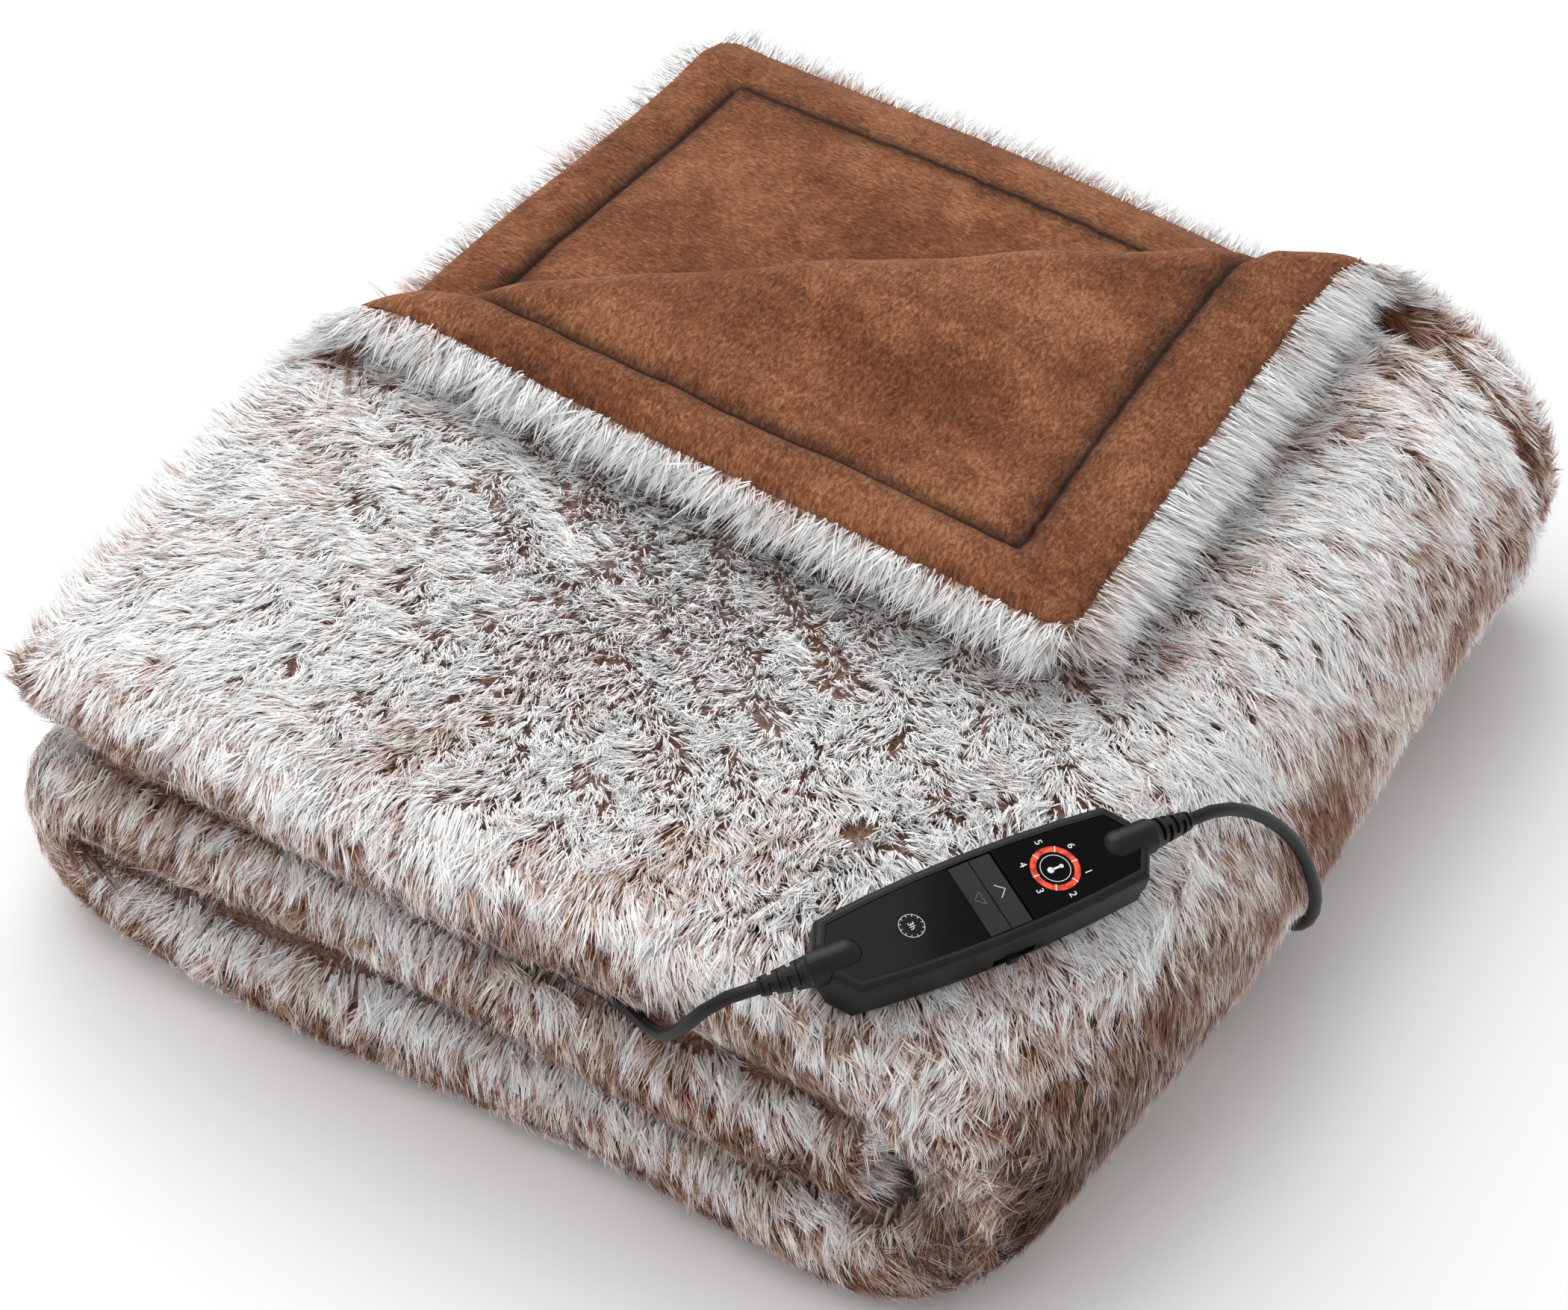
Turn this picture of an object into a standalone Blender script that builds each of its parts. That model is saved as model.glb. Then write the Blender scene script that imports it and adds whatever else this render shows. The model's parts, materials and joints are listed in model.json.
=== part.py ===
"""Electric heated blanket, folded, with its handset and leads.

The blanket is two cloths of one cut, faux fur and short plush, laid back to back. It is folded in half
across its width, fur outside, and then in three along its length, so that three pairs of plies lie on
each other. One corner of the top ply is turned back and shows the plush.

Metres. +Z is up, +X points to the large rounded fold, -Y to the face with three stacked fold edges.
The origin is on the surface, under the middle of the stack.
"""

import math

import bmesh
import bpy
from mathutils import Matrix, Vector, noise

# The cloth
CUT_LENGTH = 1.60
CUT_WIDTH = 1.30
PILE = 0.020  # the fur, from the back of the cloth to its tips
PLUSH = 0.005
SEAM_GAP = 0.0006  # between the backs of the two cloths
HEM_PILE = 0.012  # how far the fur stands out past a hem
HEM_LOCK = 0.006  # how far every other tuft at a hem stands out past that

# The folds. Radii are those of the seam face between the two cloths.
HALF_FOLD_R = 0.007
PAIR_PITCH = 0.058
OUTER_R = PAIR_PITCH
INNER_R = PAIR_PITCH / 2
FRONT_Y = -0.289  # the half fold's centre line
OUTER_X = 0.200  # the outer fold's centre line
INNER_X = -0.228  # the inner fold's centre line
TOP_HEM_X = -0.264
QUARTER = HALF_FOLD_R * math.pi / 2
LOW_Z = HALF_FOLD_R + PILE
MIDDLE_Z = LOW_Z + PAIR_PITCH
TOP_Z = MIDDLE_Z + PAIR_PITCH

# Places along the cut, from the top hem
TOP_END = OUTER_X - TOP_HEM_X
OUTER_END = TOP_END + math.pi * OUTER_R
LOW_END = OUTER_END + OUTER_X - INNER_X
INNER_END = LOW_END + math.pi * INNER_R

# The turned back corner. The crease runs from the short hem to the long hem.
CREASE_FROM = Vector((0.0, 0.234))  # (along, across) on the cut
CREASE_TO = Vector((0.489, CUT_WIDTH / 2))
CREASE_R = 0.0207
CREASE_LIFT = 0.005  # more radius at the middle of the crease
CORNER_TIP = Vector((0.187, -0.064))  # where the corner lies, in plan, before the stack settles

STACK_CENTRE = Vector((0.0007, 0.0211, 0.0))  # in plan, before the stack settles

# How the stack settles: a row for each soft rise or hollow of the upper plies, in plan
RISES = (
    # x, y, reach along, reach across, turn in degrees, height
    (0.230, 0.235, 0.070, 0.022, -8.0, 0.012),  # the roll behind the corner flap
    (-0.030, 0.085, 0.120, 0.040, 33.0, 0.005),  # under the crease
    (0.060, -0.010, 0.160, 0.030, -12.0, 0.004),  # the flap's long side
    (-0.200, -0.040, 0.060, 0.035, 10.0, 0.006),  # the roll at the short hem
)
SAGS = (
    # x, y, reach, depth as a share of the height
    (0.290, -0.320, 0.110, 0.13),  # front corner
    (-0.280, -0.320, 0.090, 0.07),  # left corner
    (-0.270, 0.340, 0.170, 0.14),  # back corner
    (0.300, 0.280, 0.080, 0.06),  # right corner
)
SKEW = 0.18  # how much the long hems lean in, for each metre towards the outer fold
FRONT_LEAN = 0.045  # how much the front face leans, for each metre
CORNER_PULL = 0.026  # how far the stack's corners are rounded off in plan

# How finely each stretch of the cut is divided
ALONG_PARTS = (
    # from, to, parts
    (0.0, TOP_END, 10),
    (TOP_END, OUTER_END, 9),
    (OUTER_END, LOW_END, 6),
    (LOW_END, INNER_END, 7),
    (INNER_END, CUT_LENGTH, 5),
)
ACROSS_PARTS = (
    (-CUT_WIDTH / 2, -QUARTER, 8),
    (-QUARTER, QUARTER, 6),
    (QUARTER, CUT_WIDTH / 2, 14),
)
CREASE_PARTS = 6

# The handset, in its own frame: +X towards the mains lead, -Y to the side with the switch, +Z out of its face
HANDSET_AT = Vector((0.2008, -0.2491, 0.1623))
HANDSET_ALONG = Vector((0.4790, 0.8760, -0.0560))
HANDSET_OUT = Vector((0.2570, -0.0875, 0.9730))
BODY_LENGTH = 0.162
BODY_HALF_WIDTH = 0.0238
SHOULDER_X, SHOULDER_Y = 0.0735, 0.0198
END_HALF_WIDTH = 0.0085
SIDE_STEPS = 6
BASE_HEIGHT = 0.0115
BASE_INSET = 0.0008  # the base is this much narrower than the cover
COVER_TOP = 0.0235
EDGE_R = 0.0030
RIM = 0.0045
GAP = 0.0003  # between pieces that touch
PANEL_THICKNESS = 0.0010
FACE_DEPTH = PANEL_THICKNESS + 2 * GAP
KEYS_FROM, KEYS_MID, KEYS_TO = -0.0080, 0.0029, 0.0139
KEY_THICKNESS = 0.0026
KEY_TRAVEL = 0.0008
KEY_EDGE = 0.0004
KEY_DEPTH = 0.0004  # how far a key's top lies below the rim
KEY_POCKET = KEY_DEPTH + KEY_THICKNESS + KEY_TRAVEL + GAP
DOME_R = 0.0078
DOME_LENGTH = 0.0240
DOME_Z = 0.0190  # the height of the leads where they leave the handset
DOME_END = 0.0855
SLOT_FROM, SLOT_TO = -0.0055, 0.0160
SLOT_Z, SLOT_HEIGHT, SLOT_DEPTH = 0.0062, 0.0044, 0.0034
KNOB_X, KNOB_LENGTH, KNOB_OUT, KNOB_EDGE = 0.0036, 0.0050, 0.0026, 0.0006
PRESS_MARGIN, PRESS_FADE = 0.024, 0.030  # how far round the handset the fur is pressed flat

# The strain reliefs
RELIEF_LENGTH = 0.023
RELIEF_R, RELIEF_TIP_R = 0.0072, 0.0043
RELIEF_RIBS = 5
RELIEF_GROOVE = 0.0009
RELIEFS = (
    # name, end of the handset, degrees round its +Z, degrees down
    ("relief_blanket", -1, 163.0, 24.0),
    ("relief_mains", 1, 3.0, 8.0),
)

# The leads. Each leaves its strain relief and goes through these places.
LEAD_D = 0.0062
LEAD_STEP = 0.0140
BLANKET_ROUTE = (
    (0.1263, -0.3526, 0.1640),
    (0.1173, -0.3526, 0.1505),
    (0.1073, -0.3486, 0.1370),
    (0.0958, -0.3406, 0.1260),
    (0.0813, -0.3306, 0.1175),
    (0.0633, -0.3221, 0.1140),
    (0.0293, -0.3191, 0.1140),
    (-0.0207, -0.3176, 0.1135),
    (-0.0707, -0.3121, 0.1140),
    (-0.1207, -0.3076, 0.1135),
    (-0.1707, -0.3031, 0.1118),
    (-0.2007, -0.3006, 0.1105),
)
MAINS_ROUTE = (
    (0.2668, -0.1281, 0.1625),
    (0.2728, -0.1151, 0.1510),
    (0.2788, -0.1036, 0.1365),
    (0.2848, -0.0941, 0.1190),
    (0.2888, -0.0866, 0.0985),
    (0.2893, -0.0781, 0.0760),
    (0.2849, -0.0701, 0.0540),
    (0.2738, -0.0581, 0.0330),
    (0.2603, -0.0381, 0.0140),
    (0.2483, -0.0061, 0.0045),
    (0.2433, 0.0459, 0.0032),
    (0.2418, 0.1059, 0.0032),
    (0.2388, 0.1609, 0.0032),
    (0.2343, 0.2109, 0.0032),
    (0.2233, 0.2519, 0.0032),
    (0.2013, 0.2779, 0.0034),
    (0.1733, 0.2889, 0.0038),
    (0.1443, 0.2919, 0.0044),
    (0.1176, 0.2919, 0.0044),
)

# The rest of the mains lead is wound up behind the stack
COIL_AT = Vector((0.0943, 0.3331, 0.0014))
COIL_MEAN_R = 0.035
COIL_WIDE, COIL_HIGH = 3, 2  # turns side by side, and layers
TIE_WIDTH, TIE_THICKNESS, TIE_ANGLE = 0.010, 0.0008, 80.0
PLUG_LEAVES_AT = -150.0  # where the lead leaves the coil for the plug, in degrees
PLUG_TAIL, PLUG_BODY, PLUG_PIN = 0.030, 0.035, 0.019
PLUG_TAIL_R, PLUG_ROOT_R = 0.0043, 0.0062
PLUG_WIDTH, PLUG_NOSE_WIDTH, PLUG_HEIGHT = 0.026, 0.0355, 0.0137
PLUG_EDGE_R = 0.0025
PIN_R, PIN_PITCH = 0.0020, 0.0190


def smooth(x):
    """0 below 0, 1 above 1, and an even slope between."""
    x = min(max(x, 0.0), 1.0)
    return x * x * (3 - 2 * x)


def half_fold(across, out):
    """(y, height over the pair's middle) of a point across the cut, out from the seam face."""
    if abs(across) < QUARTER:
        angle = across / HALF_FOLD_R
        return FRONT_Y - (HALF_FOLD_R + out) * math.cos(angle), (HALF_FOLD_R + out) * math.sin(angle)
    return FRONT_Y + abs(across) - QUARTER, math.copysign(HALF_FOLD_R + out, across)


def in_three(along, height):
    """(x, z) of a point along the cut, at a height over the pair's middle."""
    if along < TOP_END:
        return TOP_HEM_X + along, TOP_Z + height
    if along < OUTER_END:
        angle = (along - TOP_END) / OUTER_R
        reach = OUTER_R + height
        return OUTER_X + reach * math.sin(angle), MIDDLE_Z + reach * math.cos(angle)
    if along < LOW_END:
        return OUTER_X - (along - OUTER_END), LOW_Z - height
    if along < INNER_END:
        angle = (along - LOW_END) / INNER_R
        reach = INNER_R + height
        return INNER_X - reach * math.sin(angle), LOW_Z + INNER_R - reach * math.cos(angle)
    return INNER_X + along - INNER_END, MIDDLE_Z + height


def folded(along, across, out):
    """The place of a point of the cloth, with no corner turned back."""
    y, height = half_fold(across, out)
    x, z = in_three(along, height)
    return Vector((x, y, z))


def past_crease(along, across):
    """How far a point of the cut is past the crease, and its foot on the crease from 0 to 1."""
    crease = CREASE_TO - CREASE_FROM
    foot = Vector((along, across)) - CREASE_FROM
    past = (crease.x * foot.y - crease.y * foot.x) / crease.length
    return past, foot.dot(crease) / crease.length_squared


def turned_back(along, across, out):
    """The place of a point of the corner that is turned back over the crease."""
    past, share = past_crease(along, across)
    if past <= 0 or along > TOP_END:
        return folded(along, across, out)
    to_corner = Vector((-(CREASE_TO - CREASE_FROM).y, (CREASE_TO - CREASE_FROM).x)).normalized()
    foot = Vector((along, across)) - past * to_corner
    base = folded(foot.x, foot.y, 0.0)
    radius = CREASE_R + CREASE_LIFT * math.sin(math.pi * min(max(share, 0.0), 1.0))
    turn = min(past / radius, math.pi)
    flat = past - turn * radius
    inwards = (radius - out) * math.sin(turn) * to_corner
    rise = radius - (radius - out) * math.cos(turn)
    corner = Vector((0.0, CUT_WIDTH / 2))
    whole = past_crease(*corner)[0]
    corner_foot = folded(*(corner - whole * to_corner), 0.0).xy
    # The corner lies to one side of its mirror image, so the flat part is sheared and stretched.
    slant = (CORNER_TIP - corner_foot) / (whole - math.pi * CREASE_R)
    place = base.xy + inwards + flat * slant
    return Vector((place.x, place.y, base.z + rise))


def bell(x, y, reach_x, reach_y, turn=0.0):
    """A soft round hump of height 1."""
    c, s = math.cos(math.radians(turn)), math.sin(math.radians(turn))
    return math.exp(-(((c * x + s * y) / reach_x) ** 2) - ((c * y - s * x) / reach_y) ** 2)


def settled(place):
    """The folded stack as it lies: corners rounded and sagged, edges uneven, upper plies in soft rises."""
    x, y, z = place
    back = min(max((y - FRONT_Y) / (CUT_WIDTH / 2), 0.0), 1.0)
    front = 1 - smooth((y - FRONT_Y) / 0.25)
    right = smooth((x - 0.05) / 0.22)
    middle_y = FRONT_Y + CUT_WIDTH / 4
    from_middle = (y - middle_y) / (CUT_WIDTH / 4)
    from_side = x / 0.285
    new_y = y - SKEW * (x - TOP_HEM_X) * back - FRONT_LEAN * x * front
    new_y += front * CORNER_PULL * abs(from_side) ** 7
    new_x = x - right * 0.5 * CORNER_PULL * min(abs(from_middle), 1.1) ** 6
    new_y += front * 0.004 * math.sin(x * 17 + z * 40)
    new_x += 0.003 * math.sin(y * 14 + z * 30) * smooth(abs(from_side) * 2 - 1)
    upper = smooth((z - TOP_Z + HALF_FOLD_R) / (2 * HALF_FOLD_R))
    new_z = z * (1 - sum(depth * bell(x - a, y - b, reach, reach) for a, b, reach, depth in SAGS))
    new_z += upper * sum(rise * bell(x - a, y - b, *shape) for a, b, *shape, rise in RISES)
    return Vector((new_x, new_y, new_z)) - STACK_CENTRE


def handset_frame():
    """The handset's frame in the part."""
    out = HANDSET_OUT.normalized()
    along = (HANDSET_ALONG - HANDSET_ALONG.dot(out) * out).normalized()
    frame = Matrix((along, out.cross(along), out)).transposed().to_4x4()
    frame.translation = HANDSET_AT
    return frame


def pressed(place):
    """Fur near the handset is pressed to the plane of its base."""
    local = handset_frame().inverted() @ place
    outside = max(abs(local.x) - BODY_LENGTH / 2, abs(local.y) - BODY_HALF_WIDTH) - PRESS_MARGIN
    share = 1 - smooth(outside / PRESS_FADE)
    if abs(local.z) > 0.5 * PILE:
        return place
    return place - HANDSET_OUT.normalized() * share * (local.z + GAP)


def on_floor(along, across):
    """True where the fur lies on the surface."""
    return OUTER_END <= along <= LOW_END and across > QUARTER


def cut_at(bm, place, across):
    geometry = bm.verts[:] + bm.edges[:] + bm.faces[:]
    bmesh.ops.bisect_plane(bm, geom=geometry, plane_co=place, plane_no=across)


def flat_cloth():
    """The cut lying flat, with the hem's pile round it, divided where it will fold."""
    bm = bmesh.new()
    width, length = CUT_WIDTH + 2 * HEM_PILE, CUT_LENGTH + 2 * HEM_PILE
    stretch = Matrix.Diagonal((length, width, 1.0, 1.0))
    stretch.translation = (CUT_LENGTH / 2, 0, 0)
    bmesh.ops.create_grid(bm, x_segments=1, y_segments=1, size=0.5, matrix=stretch)
    for start, end, parts in ALONG_PARTS:
        for i in range(parts + (end == CUT_LENGTH)):
            cut_at(bm, (start + (end - start) * i / parts, 0, 0), (1, 0, 0))
    for start, end, parts in ACROSS_PARTS:
        for i in range(parts + (end == CUT_WIDTH / 2)):
            cut_at(bm, (0, start + (end - start) * i / parts, 0), (0, 1, 0))
    crease = CREASE_TO - CREASE_FROM
    to_corner = Vector((-crease.y, crease.x, 0)).normalized()
    for i in range(CREASE_PARTS + 1):
        start = CREASE_FROM.to_3d() + to_corner * (math.pi * CREASE_R * i / CREASE_PARTS)
        cut_at(bm, start, to_corner)
    bmesh.ops.remove_doubles(bm, verts=bm.verts, dist=0.0005)
    bmesh.ops.triangulate(bm, faces=bm.faces)
    return bm


def thicken(bm, low, high):
    """Turns the flat cloth into a slab between two heights."""
    for vertex in bm.verts:
        vertex.co.z = low
    sheet = bmesh.ops.extrude_face_region(bm, geom=bm.faces[:])
    for item in sheet["geom"]:
        if isinstance(item, bmesh.types.BMVert):
            item.co.z = high
    bmesh.ops.recalc_face_normals(bm, faces=bm.faces)


def material(name, colour, roughness, metallic=0.0):
    made = bpy.data.materials.new(name)
    made.use_nodes = True
    shader = made.node_tree.nodes["Principled BSDF"]
    shader.inputs["Base Color"].default_value = (*colour, 1.0)
    shader.inputs["Roughness"].default_value = roughness
    shader.inputs["Metallic"].default_value = metallic
    return made


def add(name, bm, finish, at=None, smooth_angle=None):
    """A new object of the blanket from a bmesh."""
    mesh = bpy.data.meshes.new(name)
    bm.to_mesh(mesh)
    bm.free()
    mesh.materials.append(finish)
    if smooth_angle is not None:
        mesh.shade_smooth()
        mesh.set_sharp_from_angle(angle=math.radians(smooth_angle))
    thing = bpy.data.objects.new(name, mesh)
    bpy.data.collections["electric_heated_blanket"].objects.link(thing)
    if at is not None:
        thing.matrix_world = at
    return thing


def outer_share(along, across):
    """How far past the cut's edge a point lies, as a share of the hem's pile."""
    past = max(-along, along - CUT_LENGTH, abs(across) - CUT_WIDTH / 2, 0.0)
    return past / HEM_PILE


def fur_panel():
    bm = flat_cloth()
    thicken(bm, SEAM_GAP / 2, PILE)
    rim = [v for v in bm.verts if outer_share(v.co.x, v.co.y) > 0.5]
    for i, vertex in enumerate(sorted(rim, key=lambda v: (round(v.co.x, 4), round(v.co.y, 4), v.co.z))):
        # The tufts at the hem: every other one longer, and all of them rounded off above.
        tuft = HEM_LOCK * (i // 2 % 2)
        if vertex.co.z > PILE / 2:
            vertex.co.z = 0.62 * PILE
            tuft -= 0.003
        middle = Vector((CUT_LENGTH / 2, 0.0))
        for axis, half in ((0, CUT_LENGTH / 2), (1, CUT_WIDTH / 2)):
            away = vertex.co[axis] - middle[axis]
            if abs(away) > half:
                vertex.co[axis] += math.copysign(tuft, away)
    for vertex in bm.verts:
        along, across, out = vertex.co
        if out > PILE / 2 and not on_floor(along, across):
            lumps = noise.noise(Vector((along * 17, across * 17, 0.5)))
            out -= 0.10 * PILE * (0.5 + 0.5 * lumps) * (outer_share(along, across) < 0.5)
        vertex.co = settled(turned_back(along, across, out))
        if out > PILE / 2:
            vertex.co = pressed(vertex.co)
    return add("fur_panel", bm, material("faux_fur", (0.62, 0.55, 0.51), 0.95), smooth_angle=60)


def plush_panel():
    bm = flat_cloth()
    past_cut = [f for f in bm.faces if outer_share(*f.calc_center_median().xy) > 0.01]
    bmesh.ops.delete(bm, geom=past_cut, context="FACES")
    thicken(bm, -PLUSH, -SEAM_GAP / 2)
    for vertex in bm.verts:
        vertex.co = settled(turned_back(*vertex.co))
    return add("plush_panel", bm, material("short_plush", (0.32, 0.13, 0.06), 0.85), smooth_angle=60)


def outline(inset=0.0):
    """The handset's outline seen from above, anticlockwise."""
    end, shoulder_x, shoulder_y = BODY_LENGTH / 2 - inset, SHOULDER_X - 0.6 * inset, SHOULDER_Y - inset
    side = []
    for i in range(SIDE_STEPS + 1):
        x = shoulder_x * (2 * i / SIDE_STEPS - 1)
        side.append((x, shoulder_y + (BODY_HALF_WIDTH - SHOULDER_Y) * (1 - (x / shoulder_x) ** 2)))
    lower = [(x, -y) for x, y in side]
    end_y = END_HALF_WIDTH - 0.4 * inset
    return [(-end, -end_y), *lower, (end, -end_y), (end, end_y), *reversed(side), (-end, end_y)]


def plate(points, low, high):
    """A flat plate of this outline between two heights."""
    curve = bpy.data.curves.new("outline", "CURVE")
    curve.dimensions = "2D"
    curve.fill_mode = "BOTH"
    curve.extrude = (high - low) / 2
    spline = curve.splines.new("POLY")
    spline.points.add(len(points) - 1)
    for point, (x, y) in zip(spline.points, points):
        point.co = (x, y, 0, 1)
    spline.use_cyclic_u = True
    guide = bpy.data.objects.new("outline", curve)
    bpy.context.scene.collection.objects.link(guide)
    graph = bpy.context.evaluated_depsgraph_get()
    mesh = bpy.data.meshes.new_from_object(guide.evaluated_get(graph))
    bpy.data.objects.remove(guide)
    bm = bmesh.new()
    bm.from_mesh(mesh)
    bpy.data.meshes.remove(mesh)
    bmesh.ops.remove_doubles(bm, verts=bm.verts, dist=0.00001)
    bmesh.ops.dissolve_limit(bm, angle_limit=math.radians(1), verts=bm.verts, edges=bm.edges)
    bmesh.ops.translate(bm, verts=bm.verts, vec=(0, 0, (low + high) / 2))
    bmesh.ops.recalc_face_normals(bm, faces=bm.faces)
    return bm


def block(low, high):
    """A box between two corners."""
    bm = bmesh.new()
    bmesh.ops.create_cube(bm, size=1.0)
    bmesh.ops.scale(bm, verts=bm.verts, vec=Vector(high) - Vector(low))
    bmesh.ops.translate(bm, verts=bm.verts, vec=(Vector(high) + Vector(low)) / 2)
    return bm


def round_edges(bm, chosen, radius, steps):
    edges = [e for e in bm.edges if chosen(e)]
    bmesh.ops.bevel(bm, geom=edges, offset=radius, segments=steps, affect="EDGES", profile=0.5)


def at_height(height):
    """Chooses the sharp edges that lie at a height."""
    def chosen(edge):
        level = all(abs(v.co.z - height) < 0.00001 for v in edge.verts)
        return level and edge.calc_face_angle() > math.radians(45)
    return chosen


def combine(thing, operation, name, bm, at):
    """Cuts a helper out of a piece, or joins it on."""
    helper = add(name, bm, thing.data.materials[0], at=at)
    bpy.data.collections["electric_heated_blanket"].objects.unlink(helper)
    bpy.data.collections["cutters"].objects.link(helper)
    helper.hide_render = True
    helper.display_type = "WIRE"
    modifier = thing.modifiers.new(name, "BOOLEAN")
    modifier.operation = operation
    modifier.object = helper


def relief_turn(turn, down):
    """The turn of a strain relief in the handset's frame."""
    return Matrix.Rotation(math.radians(turn), 4, "Z") @ Matrix.Rotation(math.radians(down), 4, "Y")


def dome(end, turn, radius, length):
    """The bullet that a lead comes out of, cut square to its strain relief."""
    bm = bmesh.new()
    bmesh.ops.create_uvsphere(bm, u_segments=16, v_segments=8, radius=radius)
    bmesh.ops.rotate(bm, verts=bm.verts, matrix=Matrix.Rotation(math.pi / 2, 3, "Y"))
    for vertex in bm.verts:
        vertex.co.x = end * (DOME_END - length + radius) + vertex.co.x
        if end * vertex.co.x > DOME_END - length + radius + 0.00001:
            vertex.co.x += end * length
    axis = turn @ Vector((1, 0, 0))
    for place, away in (((end * DOME_END, 0, 0), axis), ((0, 0, BASE_HEIGHT + GAP - DOME_Z), (0, 0, -1))):
        geometry = bm.verts[:] + bm.edges[:] + bm.faces[:]
        bmesh.ops.bisect_plane(bm, geom=geometry, plane_co=place, plane_no=away, clear_outer=True)
        bmesh.ops.holes_fill(bm, edges=bm.edges[:])
    bmesh.ops.translate(bm, verts=bm.verts, vec=(0, 0, DOME_Z))
    bmesh.ops.recalc_face_normals(bm, faces=bm.faces)
    return bm


def handset_shell(frame):
    charcoal = material("charcoal_shell", (0.024, 0.026, 0.029), 0.5)
    bm = plate(outline(BASE_INSET), 0.0, BASE_HEIGHT)
    round_edges(bm, at_height(0.0), EDGE_R, 2)
    base = add("handset_base", bm, charcoal, at=frame, smooth_angle=40)
    wall = BODY_HALF_WIDTH - BASE_INSET
    low = (SLOT_FROM, -wall - EDGE_R, SLOT_Z - SLOT_HEIGHT / 2)
    high = (SLOT_TO, -wall + SLOT_DEPTH, SLOT_Z + SLOT_HEIGHT / 2)
    combine(base, "DIFFERENCE", "switch_slot", block(low, high), frame)

    bm = plate(outline(), BASE_HEIGHT + GAP, COVER_TOP)
    round_edges(bm, at_height(COVER_TOP), EDGE_R, 3)
    cover = add("handset_cover", bm, charcoal, at=frame, smooth_angle=40)
    combine(cover, "DIFFERENCE", "face_recess", plate(outline(RIM), COVER_TOP - FACE_DEPTH, COVER_TOP + EDGE_R), frame)
    half = BODY_HALF_WIDTH - RIM - GAP
    low = (KEYS_FROM, -half, COVER_TOP - KEY_POCKET)
    combine(cover, "DIFFERENCE", "key_pocket", block(low, (KEYS_TO, half, COVER_TOP + EDGE_R)), frame)
    for name, end, turn, down in RELIEFS:
        combine(cover, "UNION", "dome_" + name, dome(end, relief_turn(turn, down), DOME_R, DOME_LENGTH), frame)


def face_panels(frame):
    gloss = material("gloss_black", (0.003, 0.003, 0.003), 0.06)
    low = COVER_TOP - FACE_DEPTH + GAP
    for name, inner, (_, end, turn, down) in zip(("panel_lower", "panel_upper"), (KEYS_FROM, KEYS_TO), RELIEFS):
        panel = add(name, plate(outline(RIM + GAP), low, low + PANEL_THICKNESS), gloss, at=frame)
        far = (-end * BODY_LENGTH, -BODY_HALF_WIDTH, 0)
        near = (inner + end * GAP, BODY_HALF_WIDTH, COVER_TOP + EDGE_R)
        corners = [sorted(pair) for pair in zip(far, near)]
        combine(panel, "DIFFERENCE", "beyond_" + name, block(*zip(*corners)), frame)
        notch = dome(end, relief_turn(turn, down), DOME_R + GAP, DOME_LENGTH + GAP)
        combine(panel, "DIFFERENCE", "notch_" + name, notch, frame)


def keys_and_switch(frame):
    satin = material("satin_grey", (0.040, 0.042, 0.045), 0.35)
    half = BODY_HALF_WIDTH - RIM - 2 * GAP
    top = COVER_TOP - KEY_DEPTH
    for name, start, end in (("key_down", KEYS_FROM, KEYS_MID), ("key_up", KEYS_MID, KEYS_TO)):
        size = Vector((end - start - 1.5 * GAP, 2 * half, KEY_THICKNESS)) / 2
        middle = Vector(((start + end) / 2, 0, top - KEY_THICKNESS / 2))
        middle.x += GAP / 4 * (1 if name == "key_down" else -1)
        bm = block(-size, size)
        round_edges(bm, at_height(size.z), KEY_EDGE, 1)
        add(name, bm, satin, at=frame @ Matrix.Translation(middle))
    wall = BODY_HALF_WIDTH - BASE_INSET
    size = Vector((KNOB_LENGTH, SLOT_DEPTH - GAP + KNOB_OUT, SLOT_HEIGHT - 2 * GAP)) / 2
    middle = Vector((KNOB_X, -wall + SLOT_DEPTH - GAP - size.y, SLOT_Z))
    bm = block(-size, size)
    round_edges(bm, lambda e: all(v.co.y < 0 for v in e.verts), KNOB_EDGE, 2)
    add("side_switch", bm, satin, at=frame @ Matrix.Translation(middle))


def relief_frame(frame, end, turn, down):
    """A strain relief's frame: its root at the origin, its axis along +X."""
    root = frame @ Matrix.Translation((end * DOME_END, 0, DOME_Z))
    return root @ relief_turn(turn, down) @ Matrix.Translation((GAP, 0, 0))


def turned_piece(name, profile, finish, at, steps):
    """A piece turned round its +X from (along, radius) points, closed at both ends."""
    bm = bmesh.new()
    corners = [bm.verts.new((along, 0, radius)) for along, radius in profile]
    for first, second in zip(corners, corners[1:]):
        bm.edges.new((first, second))
    thing = add(name, bm, finish, at=at)
    screw = thing.modifiers.new("turned", "SCREW")
    screw.axis = "X"
    screw.steps = screw.render_steps = steps
    screw.use_merge_vertices = True
    screw.merge_threshold = 0.0001
    screw.use_normal_calculate = True
    screw.use_normal_flip = True
    return thing


def strain_reliefs(frame, rubber):
    pitch = RELIEF_LENGTH / (RELIEF_RIBS + 0.5)
    profile = [(0.0, 0.0)]
    for i in range(RELIEF_RIBS + 1):
        for x, depth in ((i * pitch, 0.0), ((i + 0.55) * pitch, 0.0), ((i + 0.6) * pitch, 1), ((i + 0.95) * pitch, 1)):
            if x <= RELIEF_LENGTH:
                radius = RELIEF_R + (RELIEF_TIP_R - RELIEF_R) * x / RELIEF_LENGTH
                profile.append((x, radius - depth * RELIEF_GROOVE))
    profile += [(RELIEF_LENGTH, RELIEF_TIP_R), (RELIEF_LENGTH, 0.0)]
    for name, end, turn, down in RELIEFS:
        turned_piece(name, profile, rubber, relief_frame(frame, end, turn, down), 14)


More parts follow.
